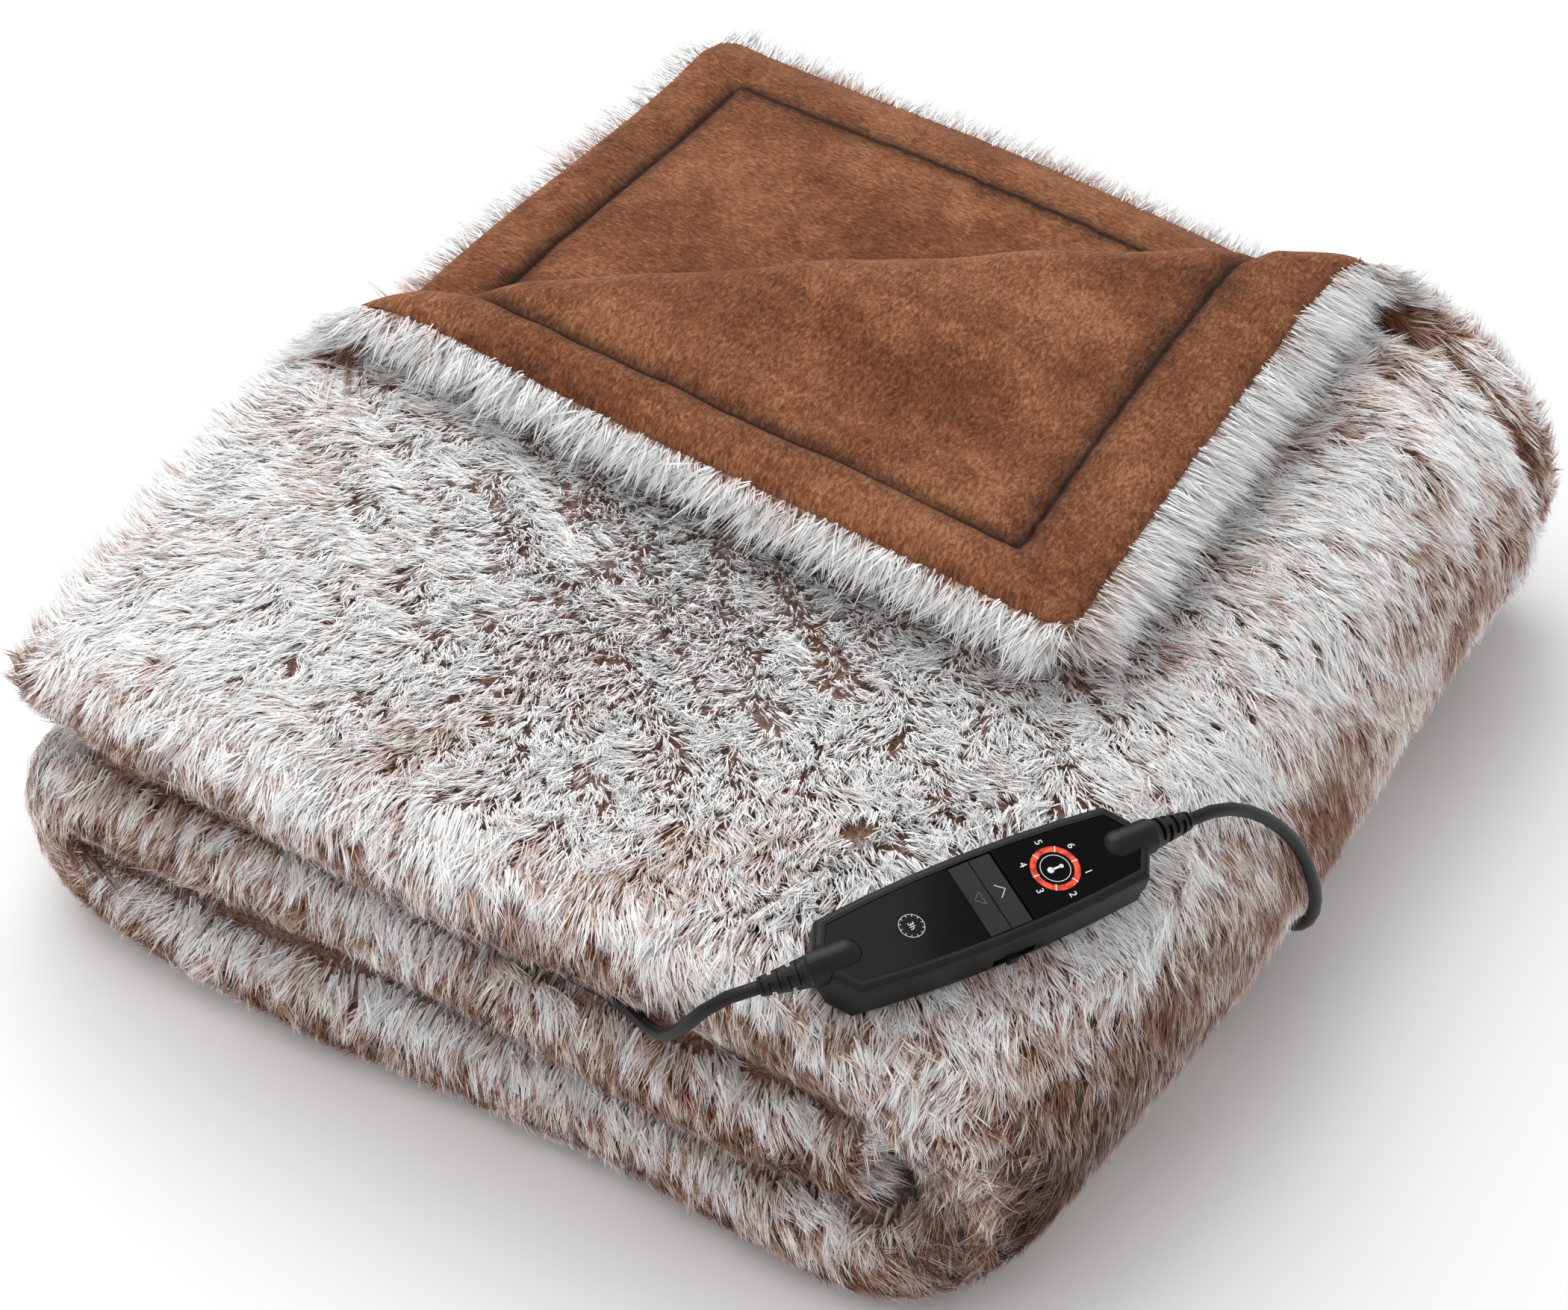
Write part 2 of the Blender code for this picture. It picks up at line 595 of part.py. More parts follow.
def smooth_route(places, step):
    """Points at even steps along a smooth curve through these places."""
    ends = [2 * places[0] - places[1], *places, 2 * places[-1] - places[-2]]
    fine = []
    for before, start, end, after in zip(ends, ends[1:], ends[2:], ends[3:]):
        for i in range(20):
            t = i / 20
            bend = (2 * before - 5 * start + 4 * end - after) * t + (3 * start - before - 3 * end + after) * t * t
            fine.append(start + t / 2 * (end - before + bend))
    fine.append(places[-1])
    length = sum((b - a).length for a, b in zip(fine, fine[1:]))
    count = math.ceil(length / step)
    points, walked = [fine[0]], 0.0
    for a, b in zip(fine, fine[1:]):
        walked += (b - a).length
        while walked >= len(points) * length / count and len(points) < count:
            over = walked - len(points) * length / count
            points.append(b + (a - b).normalized() * over)
    return [*points, fine[-1]]


def lead(name, relief, route, frame, finish):
    """A lead's tube, from its strain relief through the places of its route."""
    root = relief_frame(frame, *relief[1:])
    start = [root @ Vector((RELIEF_LENGTH + reach, 0, 0)) for reach in (GAP, LEAD_STEP)]
    points = smooth_route([*start, *map(Vector, route)], LEAD_STEP)
    curve = bpy.data.curves.new(name, "CURVE")
    curve.dimensions = "3D"
    curve.bevel_depth = LEAD_D / 2
    curve.bevel_resolution = 2
    curve.use_fill_caps = True
    curve.materials.append(finish)
    spline = curve.splines.new("POLY")
    spline.points.add(len(points) - 1)
    for point, place in zip(spline.points, points):
        point.co = (*place, 1)
    tube = bpy.data.objects.new(name, curve)
    bpy.data.collections["electric_heated_blanket"].objects.link(tube)


def mains_coil(finish):
    """The outer form of the wound up length: a flat ring, and the tie round it."""
    half_width = COIL_WIDE * LEAD_D / 2
    height = COIL_HIGH * LEAD_D
    inner, outer = COIL_MEAN_R - half_width, COIL_MEAN_R + half_width
    soft = LEAD_D / 4
    section = [
        (inner + soft, 0), (outer - soft, 0), (outer, soft), (outer, height - soft),
        (outer - soft, height), (inner + soft, height), (inner, height - soft), (inner, soft),
    ]
    bm = bmesh.new()
    corners = [bm.verts.new((radius, 0, z)) for radius, z in section]
    for first, second in zip(corners, corners[1:] + corners[:1]):
        bm.edges.new((first, second))
    ring = add("mains_coil", bm, finish, at=Matrix.Translation(COIL_AT))
    screw = ring.modifiers.new("turned", "SCREW")
    screw.steps = screw.render_steps = 28
    screw.use_merge_vertices = True
    screw.merge_threshold = 0.0001
    screw.use_normal_calculate = True

    sagitta = inner - math.sqrt(inner**2 - (TIE_WIDTH / 2) ** 2)
    low = Vector((inner - sagitta - 2 * GAP, -TIE_WIDTH / 2, -GAP))
    high = Vector((outer + 2 * GAP, TIE_WIDTH / 2, height + GAP))
    band = Vector((TIE_THICKNESS, 0, TIE_THICKNESS))
    at = Matrix.Translation(COIL_AT) @ Matrix.Rotation(math.radians(TIE_ANGLE), 4, "Z")
    tie = add("coil_tie", block(low - band, high + band), material("black_tie", (0.02, 0.02, 0.022), 0.8), at=at)
    past = Vector((0, TIE_WIDTH, 0))
    combine(tie, "DIFFERENCE", "tie_hole", block(low - past, high + past), at)


def plug_frame():
    """The plug's frame: its lead comes in at the origin, its pins point along +X."""
    angle = math.radians(PLUG_LEAVES_AT)
    outer = COIL_MEAN_R + COIL_WIDE * LEAD_D / 2
    leaving = outer + LEAD_D / 2  # the lead's end lies outside the outer turn
    # Far enough along its tangent for the tail to be clear of the ring
    reach = math.sqrt((outer + GAP) ** 2 - (leaving - PLUG_TAIL_R) ** 2)
    place = Vector((COIL_AT.x, COIL_AT.y, 0)) + leaving * Vector((math.cos(angle), math.sin(angle), 0))
    turn = Matrix.Rotation(angle - math.pi / 2, 4, "Z")
    return Matrix.Translation(place + Vector((0, 0, PLUG_HEIGHT / 2 + GAP))) @ turn @ Matrix.Translation((reach, 0, 0))


def mains_plug(rubber):
    frame = plug_frame()
    nose = PLUG_TAIL + PLUG_BODY
    side = [
        (PLUG_TAIL, PLUG_WIDTH / 3), (PLUG_TAIL + 0.25 * PLUG_BODY, PLUG_WIDTH / 2),
        (nose - 0.3 * PLUG_BODY, PLUG_WIDTH / 2), (nose - 0.1 * PLUG_BODY, PLUG_NOSE_WIDTH / 2),
        (nose, PLUG_NOSE_WIDTH / 2),
    ]
    points = [(x, -y) for x, y in side] + [(x, y) for x, y in reversed(side)]
    bm = plate(points, -PLUG_HEIGHT / 2, PLUG_HEIGHT / 2)
    for height in (-PLUG_HEIGHT / 2, PLUG_HEIGHT / 2):
        round_edges(bm, at_height(height), PLUG_EDGE_R, 2)
    body = add("plug_body", bm, rubber, at=frame, smooth_angle=40)
    tail = bmesh.new()
    length = PLUG_TAIL + 0.2 * PLUG_BODY
    bmesh.ops.create_cone(tail, cap_ends=True, segments=14, radius1=PLUG_TAIL_R, radius2=PLUG_ROOT_R, depth=length)
    bmesh.ops.rotate(tail, verts=tail.verts, matrix=Matrix.Rotation(math.pi / 2, 3, "Y"))
    bmesh.ops.translate(tail, verts=tail.verts, vec=(length / 2, 0, 0))
    combine(body, "UNION", "plug_tail", tail, frame)
    chrome = material("plated_pin", (0.75, 0.75, 0.73), 0.2, metallic=1.0)
    for name, side in (("plug_pin_left", 1), ("plug_pin_right", -1)):
        pin = bmesh.new()
        bmesh.ops.create_cone(pin, cap_ends=True, segments=14, radius1=PIN_R, radius2=PIN_R, depth=PLUG_PIN)
        round_edges(pin, at_height(PLUG_PIN / 2), PIN_R / 2, 2)
        turn = Matrix.Rotation(math.pi / 2, 4, "Y")
        place = Matrix.Translation((nose + GAP + PLUG_PIN / 2, side * PIN_PITCH / 2, 0))
        add(name, pin, chrome, at=frame @ place @ turn, smooth_angle=40)


def clear_scene():
    for thing in list(bpy.data.objects):
        bpy.data.objects.remove(thing)
    for name in ("electric_heated_blanket", "cutters"):
        bpy.context.scene.collection.children.link(bpy.data.collections.new(name))


clear_scene()
fur_panel()
plush_panel()
handset = handset_frame()
handset_shell(handset)
face_panels(handset)
keys_and_switch(handset)
black_rubber = material("black_rubber", (0.016, 0.017, 0.019), 0.55)
strain_reliefs(handset, black_rubber)
lead("lead_blanket", RELIEFS[0], BLANKET_ROUTE, handset, black_rubber)
lead("lead_mains", RELIEFS[1], MAINS_ROUTE, handset, black_rubber)
mains_coil(black_rubber)
mains_plug(black_rubber)
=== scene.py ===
"""Electric heated blanket, folded, with its handset and leads: the looks.

Two cloths of one cut, long faux fur and short brown plush, lie back to back. They are folded in half across
their width, fur outside, and then in three along their length. A corner of the top ply is turned back.

The fur is a base sheet with a dense undercoat and locks of pile that stand on it. The handset's moulded
pieces are the CAD nodes with their finishes, and its lamp ring, marks and strain relief slots are added.

Metres, in the CAD's frame. Colours are sRGB hex.
"""

import json
import math

import bpy
import numpy as np
from mathutils import Matrix, Vector
from mathutils.bvhtree import BVHTree
from mathutils.kdtree import KDTree
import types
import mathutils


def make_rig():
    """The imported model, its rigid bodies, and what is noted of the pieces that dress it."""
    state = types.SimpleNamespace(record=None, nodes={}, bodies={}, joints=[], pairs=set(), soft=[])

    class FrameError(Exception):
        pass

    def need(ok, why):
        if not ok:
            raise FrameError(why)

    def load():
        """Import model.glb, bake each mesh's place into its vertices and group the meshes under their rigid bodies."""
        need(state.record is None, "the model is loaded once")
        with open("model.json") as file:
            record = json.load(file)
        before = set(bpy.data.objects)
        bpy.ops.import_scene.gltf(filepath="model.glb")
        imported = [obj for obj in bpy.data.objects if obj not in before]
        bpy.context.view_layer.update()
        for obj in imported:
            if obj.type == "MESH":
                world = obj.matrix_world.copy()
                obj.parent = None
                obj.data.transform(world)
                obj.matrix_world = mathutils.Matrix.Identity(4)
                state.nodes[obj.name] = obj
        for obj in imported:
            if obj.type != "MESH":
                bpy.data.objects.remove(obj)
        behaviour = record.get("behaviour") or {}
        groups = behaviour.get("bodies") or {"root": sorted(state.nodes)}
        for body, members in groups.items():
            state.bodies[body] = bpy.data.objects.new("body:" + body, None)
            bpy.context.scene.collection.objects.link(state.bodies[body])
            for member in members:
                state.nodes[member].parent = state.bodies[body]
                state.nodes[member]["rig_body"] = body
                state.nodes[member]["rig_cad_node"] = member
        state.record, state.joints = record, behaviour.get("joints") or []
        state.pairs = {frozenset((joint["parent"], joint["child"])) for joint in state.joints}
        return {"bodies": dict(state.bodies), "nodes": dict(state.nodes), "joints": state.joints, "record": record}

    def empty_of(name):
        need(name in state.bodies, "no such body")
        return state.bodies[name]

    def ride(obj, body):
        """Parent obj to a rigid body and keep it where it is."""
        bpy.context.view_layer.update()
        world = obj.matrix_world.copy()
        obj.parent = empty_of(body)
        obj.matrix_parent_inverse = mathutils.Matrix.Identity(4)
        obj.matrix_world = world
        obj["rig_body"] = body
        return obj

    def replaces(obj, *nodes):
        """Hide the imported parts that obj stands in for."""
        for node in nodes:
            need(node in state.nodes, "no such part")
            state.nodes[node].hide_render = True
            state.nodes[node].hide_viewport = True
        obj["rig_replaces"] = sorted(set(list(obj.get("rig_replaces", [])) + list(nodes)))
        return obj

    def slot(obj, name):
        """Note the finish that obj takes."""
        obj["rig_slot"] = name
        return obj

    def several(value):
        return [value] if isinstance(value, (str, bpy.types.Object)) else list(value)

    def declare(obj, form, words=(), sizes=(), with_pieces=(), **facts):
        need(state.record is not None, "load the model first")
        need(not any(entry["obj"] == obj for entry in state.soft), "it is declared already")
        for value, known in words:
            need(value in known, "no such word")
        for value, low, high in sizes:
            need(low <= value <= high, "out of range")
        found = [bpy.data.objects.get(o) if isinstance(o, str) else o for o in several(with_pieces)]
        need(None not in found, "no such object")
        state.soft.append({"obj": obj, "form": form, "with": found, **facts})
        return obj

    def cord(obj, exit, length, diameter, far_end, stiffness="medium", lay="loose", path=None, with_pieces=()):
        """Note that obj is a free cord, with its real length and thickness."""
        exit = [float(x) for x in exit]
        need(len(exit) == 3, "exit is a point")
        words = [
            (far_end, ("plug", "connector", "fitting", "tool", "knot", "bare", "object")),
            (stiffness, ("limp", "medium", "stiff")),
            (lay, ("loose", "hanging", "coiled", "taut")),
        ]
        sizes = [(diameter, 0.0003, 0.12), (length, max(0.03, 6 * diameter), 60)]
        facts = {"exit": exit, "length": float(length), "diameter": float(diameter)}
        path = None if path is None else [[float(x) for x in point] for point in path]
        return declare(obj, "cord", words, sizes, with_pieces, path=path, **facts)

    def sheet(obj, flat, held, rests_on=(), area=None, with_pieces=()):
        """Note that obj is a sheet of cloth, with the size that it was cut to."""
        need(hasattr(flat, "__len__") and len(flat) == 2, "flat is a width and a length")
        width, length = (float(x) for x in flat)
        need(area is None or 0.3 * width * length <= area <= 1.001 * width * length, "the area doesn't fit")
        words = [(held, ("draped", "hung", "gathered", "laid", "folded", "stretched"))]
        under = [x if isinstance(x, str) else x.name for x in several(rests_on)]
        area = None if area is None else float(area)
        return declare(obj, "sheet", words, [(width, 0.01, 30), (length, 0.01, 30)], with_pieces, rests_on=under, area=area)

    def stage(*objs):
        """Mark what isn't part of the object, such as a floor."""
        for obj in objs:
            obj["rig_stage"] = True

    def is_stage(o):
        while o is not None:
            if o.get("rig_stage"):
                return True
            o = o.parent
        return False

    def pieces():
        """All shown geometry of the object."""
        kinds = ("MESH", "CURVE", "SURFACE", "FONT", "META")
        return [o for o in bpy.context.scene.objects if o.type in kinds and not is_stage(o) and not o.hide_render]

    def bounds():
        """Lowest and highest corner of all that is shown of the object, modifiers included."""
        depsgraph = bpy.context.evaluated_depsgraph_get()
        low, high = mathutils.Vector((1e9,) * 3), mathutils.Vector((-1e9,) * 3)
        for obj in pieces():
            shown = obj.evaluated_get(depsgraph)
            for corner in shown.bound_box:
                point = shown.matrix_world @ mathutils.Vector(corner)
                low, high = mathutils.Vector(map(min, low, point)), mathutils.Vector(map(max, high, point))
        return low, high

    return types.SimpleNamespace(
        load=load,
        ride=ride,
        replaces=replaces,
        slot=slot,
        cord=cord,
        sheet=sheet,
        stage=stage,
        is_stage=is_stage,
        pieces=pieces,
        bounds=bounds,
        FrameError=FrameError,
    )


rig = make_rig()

# The camera, as the photograph's. Its place is given by a target, two angles and a distance.
CAMERA_TARGET = Vector((-0.0454, 0.0190, 0.0))
CAMERA_AZIMUTH, CAMERA_ELEVATION = 29.7, 41.9
CAMERA_DISTANCE = 2.451
CAMERA_LENS, CAMERA_SENSOR = 111.4, 36.0  # millimetres

# The cloth, as it was cut
CUT_LENGTH = 1.60
CUT_WIDTH = 1.30
HALF_WIDTH = CUT_WIDTH / 2
PILE = 0.020
PLUSH = 0.005
SEAM_GAP = 0.0006
UNDERCOAT = 0.54  # how high the dense undercoat reaches, as a share of the pile
SEAM_INSET = 0.036  # the border seam through both cloths, from the hem
ROUNDED = 0.018  # the radius of the cut's corners

# Where the grids of the two cloths have lines: from, to, step
FUR_LINES = (
    ((0.0, 0.06, 0.004), (0.06, CUT_LENGTH, 0.0140)),
    ((-HALF_WIDTH, -0.012, 0.0145), (-0.012, 0.012, 0.003), (0.012, 0.59, 0.0145), (0.59, HALF_WIDTH, 0.004)),
)
PLUSH_LINES = (
    ((0.0, 0.10, 0.003), (0.10, 0.52, 0.006), (0.52, CUT_LENGTH, 0.020)),
    ((-HALF_WIDTH, -0.012, 0.020), (-0.012, 0.012, 0.004), (0.012, 0.545, 0.006), (0.545, HALF_WIDTH, 0.003)),
)

# The pile: how many locks, and how they lie
LOCKS = 170000
HEM_LOCKS = 40000
HEM_REACH = 0.019  # how far the locks at a hem stand out past it
HEM_AHEAD = 0.020  # how far past a hem the sky is looked for
LOCK_LENGTH = 0.021  # along the cloth
LOCK_WIDTH = 0.0008
LOCK_STRAY = np.array((0.0008, 0.0010, 0.0013))  # how far a lock's twin strays at its root, middle and tip
LOCK_ROOT, LOCK_TIP = 0.36, 0.92  # heights as shares of the pile
LIE_HEIGHT = 0.8 * PILE  # where the lie of the pile is measured
LOCKS_A_CLUMP = 5
CLUMPING = 0.74  # how far a lock is drawn to its clump's leading lock
CLUMP_REACH = 0.010
LOOSE = 0.12  # the share of locks in no clump
SWIRL_SIZE = 0.034
HEM_WAYS = np.array(((-1.0, 0.0), (1.0, 0.0), (0.0, 1.0), (0.0, -1.0)))  # out of the cut, over each hem
SKY_RAYS, SKY_REACH = 26, 0.25
FLOOR_REACH = 0.06  # a ray that gets to the floor within this sees no sky
# How far the locks' tints shift: browner on the sides, partly the hair's own colour and partly painted shade, and
# whiter in the top tufts, partly painted light
SIDES_BROWN_AND_SHADE, TUFTS_WHITE_AND_LIT = 0.72, 0.85  # shifts of the locks' tints

# The folds. Radii are those of the seam face between the two cloths.
HALF_FOLD_R = 0.007
PAIR_PITCH = 0.058
OUTER_R = PAIR_PITCH
INNER_R = PAIR_PITCH / 2
FRONT_Y = -0.289
OUTER_X = 0.200
INNER_X = -0.228
TOP_HEM_X = -0.264
QUARTER = HALF_FOLD_R * math.pi / 2
LOW_Z = HALF_FOLD_R + PILE
MIDDLE_Z = LOW_Z + PAIR_PITCH
TOP_Z = MIDDLE_Z + PAIR_PITCH
TOP_END = OUTER_X - TOP_HEM_X
OUTER_END = TOP_END + math.pi * OUTER_R
LOW_END = OUTER_END + OUTER_X - INNER_X
INNER_END = LOW_END + math.pi * INNER_R

# The turned back corner, on the cut, from the short hem to the long hem
CREASE_FROM = np.array((0.0, 0.234))
CREASE_TO = np.array((0.489, HALF_WIDTH))
CREASE_R = 0.0207
CREASE_LIFT = 0.005
CORNER_TIP = np.array((0.187, -0.064))

# How the stack settles
STACK_CENTRE = np.array((0.0007, 0.0211, 0.0))
RISES = (
    # x, y, reach along, reach across, turn in degrees, height
    (0.230, 0.235, 0.070, 0.022, -8.0, 0.012),
    (-0.030, 0.085, 0.120, 0.040, 33.0, 0.005),
    (0.060, -0.010, 0.160, 0.030, -12.0, 0.004),
    (-0.200, -0.040, 0.060, 0.035, 10.0, 0.006),
)
SAGS = (
    # x, y, reach, depth as a share of the height
    (0.290, -0.320, 0.110, 0.13),
    (-0.280, -0.320, 0.090, 0.07),
    (-0.270, 0.340, 0.170, 0.14),
    (0.300, 0.280, 0.080, 0.06),
)
SKEW = 0.18
FRONT_LEAN = 0.045
CORNER_PULL = 0.026

# The handset's frame: +X towards the mains lead, -Y to the side with the switch, +Z out of its face
HANDSET_AT = Vector((0.2008, -0.2491, 0.1623))
HANDSET_ALONG = Vector((0.4790, 0.8760, -0.0560))
HANDSET_OUT = Vector((0.2570, -0.0875, 0.9730))
BODY_LENGTH = 0.162
BODY_HALF_WIDTH = 0.0238
COVER_TOP = 0.0235
GAP = 0.0003  # between pieces that touch
PRESS_MARGIN, PRESS_FADE = 0.024, 0.030  # how far round the handset the pile is pressed
PRINT = 0.00006  # the thickness of a printed mark
PANEL_TOP = COVER_TOP - GAP
KEY_TOP = COVER_TOP - 0.0004
KEY_DOWN_X, KEY_UP_X = -0.0026, 0.0084
RING_X, RING_R, RING_HOLE = 0.0363, 0.0112, 0.0085
RING_CIRCLE = 0.0069  # the fine printed circle inside the lamp ring
NUMBER_SIZE = 0.0050
DIAL_X, DIAL_R = -0.0368, 0.0058

# The strain reliefs and leads
DOME_END, DOME_Z = 0.0855, 0.0190
DOME_R, DOME_LENGTH = 0.0078, 0.0240
BOOT_SKIN = 0.00015  # how far the boots stand over the cover's domes
BOOT_SIDES = 48
RELIEF_LENGTH = 0.023
RELIEF_R, RELIEF_TIP_R = 0.0072, 0.0043
SLOT_PITCH, SLOT_WIDE, SLOT_DEEP = 0.0043, 0.0019, 0.0017
SLOTS_FROM, SLOT_ROWS, SLOT_SPAN = 0.0034, 4.2, 68  # the span is half of a slot's, in degrees
RELIEFS = (
    # name, end of the handset, degrees round its +Z, degrees down
    ("relief_blanket", -1, 163.0, 24.0),
    ("relief_mains", 1, 3.0, 8.0),
)
LEAD_D = 0.0062
LEAD_STEP = 0.0140
BLANKET_ROUTE = (
    (0.1263, -0.3526, 0.1640),
    (0.1173, -0.3526, 0.1505),
    (0.1073, -0.3486, 0.1370),
    (0.0958, -0.3406, 0.1260),
    (0.0813, -0.3306, 0.1175),
    (0.0633, -0.3221, 0.1140),
    (0.0293, -0.3191, 0.1140),
    (-0.0207, -0.3176, 0.1135),
    (-0.0707, -0.3121, 0.1140),
    (-0.1207, -0.3076, 0.1135),
    (-0.1707, -0.3031, 0.1118),
    (-0.2007, -0.3006, 0.1105),
)
MAINS_ROUTE = (
    (0.2668, -0.1281, 0.1625),
    (0.2728, -0.1151, 0.1510),
    (0.2788, -0.1036, 0.1365),
    (0.2848, -0.0941, 0.1190),
    (0.2888, -0.0866, 0.0985),
    (0.2893, -0.0781, 0.0760),
    (0.2849, -0.0701, 0.0540),
    (0.2738, -0.0581, 0.0330),
    (0.2603, -0.0381, 0.0140),
    (0.2483, -0.0061, 0.0045),
    (0.2433, 0.0459, 0.0032),
    (0.2418, 0.1059, 0.0032),
    (0.2388, 0.1609, 0.0032),
    (0.2343, 0.2109, 0.0032),
    (0.2233, 0.2519, 0.0032),
    (0.2013, 0.2779, 0.0034),
    (0.1733, 0.2889, 0.0038),
    (0.1443, 0.2919, 0.0044),
    (0.1176, 0.2919, 0.0044),
)
COIL_AT = Vector((0.0943, 0.3331, 0.0014))
COIL_MEAN_R = 0.035
COIL_WIDE, COIL_HIGH = 3, 2
TURN_POINTS = 24
JOG_AT, JOG_WIDTH = 0.92, 0.35  # where each turn steps over to the next, in turns
PLUG_LEAVES_AT = -150.0
PLUG_TAIL_R = 0.0043
PLUG_HEIGHT = 0.0137
PLUG_REACH = math.sqrt((COIL_MEAN_R + COIL_WIDE * LEAD_D / 2 + GAP) ** 2
                       - (COIL_MEAN_R + (COIL_WIDE + 1) / 2 * LEAD_D - PLUG_TAIL_R) ** 2)

# The materials' patterns have their real sizes in millimetres
MM = 0.001
WAVE_PERIOD = math.pi / 10  # of a wave texture at scale 1


def colour(code):
    """A linear colour from an sRGB hex code."""
    parts = [int(code[i:i + 2], 16) / 255 for i in (1, 3, 5)]
    return (*[c / 12.92 if c <= 0.04045 else ((c + 0.055) / 1.055) ** 2.4 for c in parts], 1.0)


def node(tree, kind, inputs=None, stops=(), **settings):
    """A shader node with its links and settings. An input is a plain value, a socket, or a node for its first
    output. A colour ramp's stops are (position, hex) rows."""
    made = tree.nodes.new("ShaderNode" + kind)
    for name, value in settings.items():
        setattr(made, name, value)
    for name, value in (inputs or {}).items():
        value = value.outputs[0] if isinstance(value, bpy.types.Node) else value
        if isinstance(value, bpy.types.NodeSocket):
            tree.links.new(value, made.inputs[name])
        else:
            made.inputs[name].default_value = value
    if stops:
        row = made.color_ramp.elements
        while len(row) < len(stops):
            row.new(0.5)
        for element, (position, code) in zip(row, stops):
            element.position = position
            element.color = colour(code)
    return made


def new_material(name):
    """An empty material, its node tree, and a call that ends it in a surface shader."""
    made = bpy.data.materials.new(name)
    made.use_nodes = True
    tree = made.node_tree
    tree.nodes.clear()

    def surface(shader):
        node(tree, "OutputMaterial", {"Surface": shader})
        return made

    return tree, surface


def smooth(x):
    """0 below 0, 1 above 1, and an even slope between."""
    x = np.clip(x, 0.0, 1.0)
    return x * x * (3 - 2 * x)


def half_fold(across, out):
    """(y, height over the pair's middle) of points across the cut, out from the seam face."""
    angle = across / HALF_FOLD_R
    reach = HALF_FOLD_R + out
    in_fold = np.abs(across) < QUARTER
    y = np.where(in_fold, FRONT_Y - reach * np.cos(angle), FRONT_Y + np.abs(across) - QUARTER)
    return y, np.where(in_fold, reach * np.sin(angle), np.copysign(reach, across))


def in_three(along, height):
    """(x, z) of points along the cut, at heights over the pair's middle."""
    outer = (along - TOP_END) / OUTER_R
    inner = (along - LOW_END) / INNER_R
    stretches = [along < TOP_END, along < OUTER_END, along < LOW_END, along < INNER_END]
    x = np.select(stretches, [
        TOP_HEM_X + along,
        OUTER_X + (OUTER_R + height) * np.sin(outer),
        OUTER_X - (along - OUTER_END),
        INNER_X - (INNER_R + height) * np.sin(inner),
    ], INNER_X + along - INNER_END)
    z = np.select(stretches, [
        TOP_Z + height,
        MIDDLE_Z + (OUTER_R + height) * np.cos(outer),
        LOW_Z - height,
        LOW_Z + INNER_R - (INNER_R + height) * np.cos(inner),
    ], MIDDLE_Z + height)
    return x, z


def folded(along, across, out):
    """The places of points of the cloth, with no corner turned back."""
    y, height = half_fold(across, out)
    x, z = in_three(along, height)
    return np.stack((x, y, z), axis=-1)


def past_crease(along, across):
    """How far points of the cut are past the crease, and their foot on it from 0 to 1."""
    crease = CREASE_TO - CREASE_FROM
    length = np.linalg.norm(crease)
    a, b = along - CREASE_FROM[0], across - CREASE_FROM[1]
    return (crease[0] * b - crease[1] * a) / length, (a * crease[0] + b * crease[1]) / length**2


def turned_back(along, across, out):
    """The places of points of the cloth, with the corner turned back over the crease."""
    plain = folded(along, across, out)
    past, share = past_crease(along, across)
    crease = CREASE_TO - CREASE_FROM
    to_corner = np.array((-crease[1], crease[0])) / np.linalg.norm(crease)
    base = folded(along - past * to_corner[0], across - past * to_corner[1], np.zeros_like(out))
    radius = CREASE_R + CREASE_LIFT * np.sin(math.pi * np.clip(share, 0, 1))
    turn = np.minimum(past / radius, math.pi)
    flat = past - turn * radius
    corner = np.array((0.0, HALF_WIDTH))
    whole = float(past_crease(*corner)[0])
    foot = corner - whole * to_corner
    corner_foot = folded(np.array(foot[0]), np.array(foot[1]), np.array(0.0))[:2]
    slant = (CORNER_TIP - corner_foot) / (whole - math.pi * CREASE_R)
    place = base[..., :2] + ((radius - out) * np.sin(turn))[..., None] * to_corner + flat[..., None] * slant
    rise = radius - (radius - out) * np.cos(turn)
    turned = np.concatenate((place, (base[..., 2] + rise)[..., None]), axis=-1)
    return np.where(((past > 0) & (along <= TOP_END))[..., None], turned, plain)


def bell(x, y, reach_x, reach_y, turn=0.0):
    """A soft round hump of height 1."""
    c, s = math.cos(math.radians(turn)), math.sin(math.radians(turn))
    return np.exp(-(((c * x + s * y) / reach_x) ** 2) - ((c * y - s * x) / reach_y) ** 2)


def settled(place):
    """The folded stack as it lies."""
    x, y, z = place[..., 0], place[..., 1], place[..., 2]
    back = np.clip((y - FRONT_Y) / HALF_WIDTH, 0, 1)
    front = 1 - smooth((y - FRONT_Y) / 0.25)
    right = smooth((x - 0.05) / 0.22)
    from_middle = np.abs(y - FRONT_Y - CUT_WIDTH / 4) / (CUT_WIDTH / 4)
    from_side = np.abs(x) / 0.285
    new_y = y - SKEW * (x - TOP_HEM_X) * back - FRONT_LEAN * x * front
    new_y = new_y + front * CORNER_PULL * from_side**7
    new_x = x - right * 0.5 * CORNER_PULL * np.minimum(from_middle, 1.1) ** 6
    new_y = new_y + front * 0.004 * np.sin(x * 17 + z * 40)
    new_x = new_x + 0.003 * np.sin(y * 14 + z * 30) * smooth(from_side * 2 - 1)
    upper = smooth((z - TOP_Z + HALF_FOLD_R) / (2 * HALF_FOLD_R))
    new_z = z * (1 - sum(depth * bell(x - a, y - b, reach, reach) for a, b, reach, depth in SAGS))
    new_z = new_z + upper * sum(rise * bell(x - a, y - b, *shape) for a, b, *shape, rise in RISES)
    return np.stack((new_x, new_y, new_z), axis=-1) - STACK_CENTRE


def handset_frame():
    """The handset's frame in the part."""
    out = HANDSET_OUT.normalized()
    along = (HANDSET_ALONG - HANDSET_ALONG.dot(out) * out).normalized()
    frame = Matrix((along, out.cross(along), out)).transposed().to_4x4()
    frame.translation = HANDSET_AT
    return frame


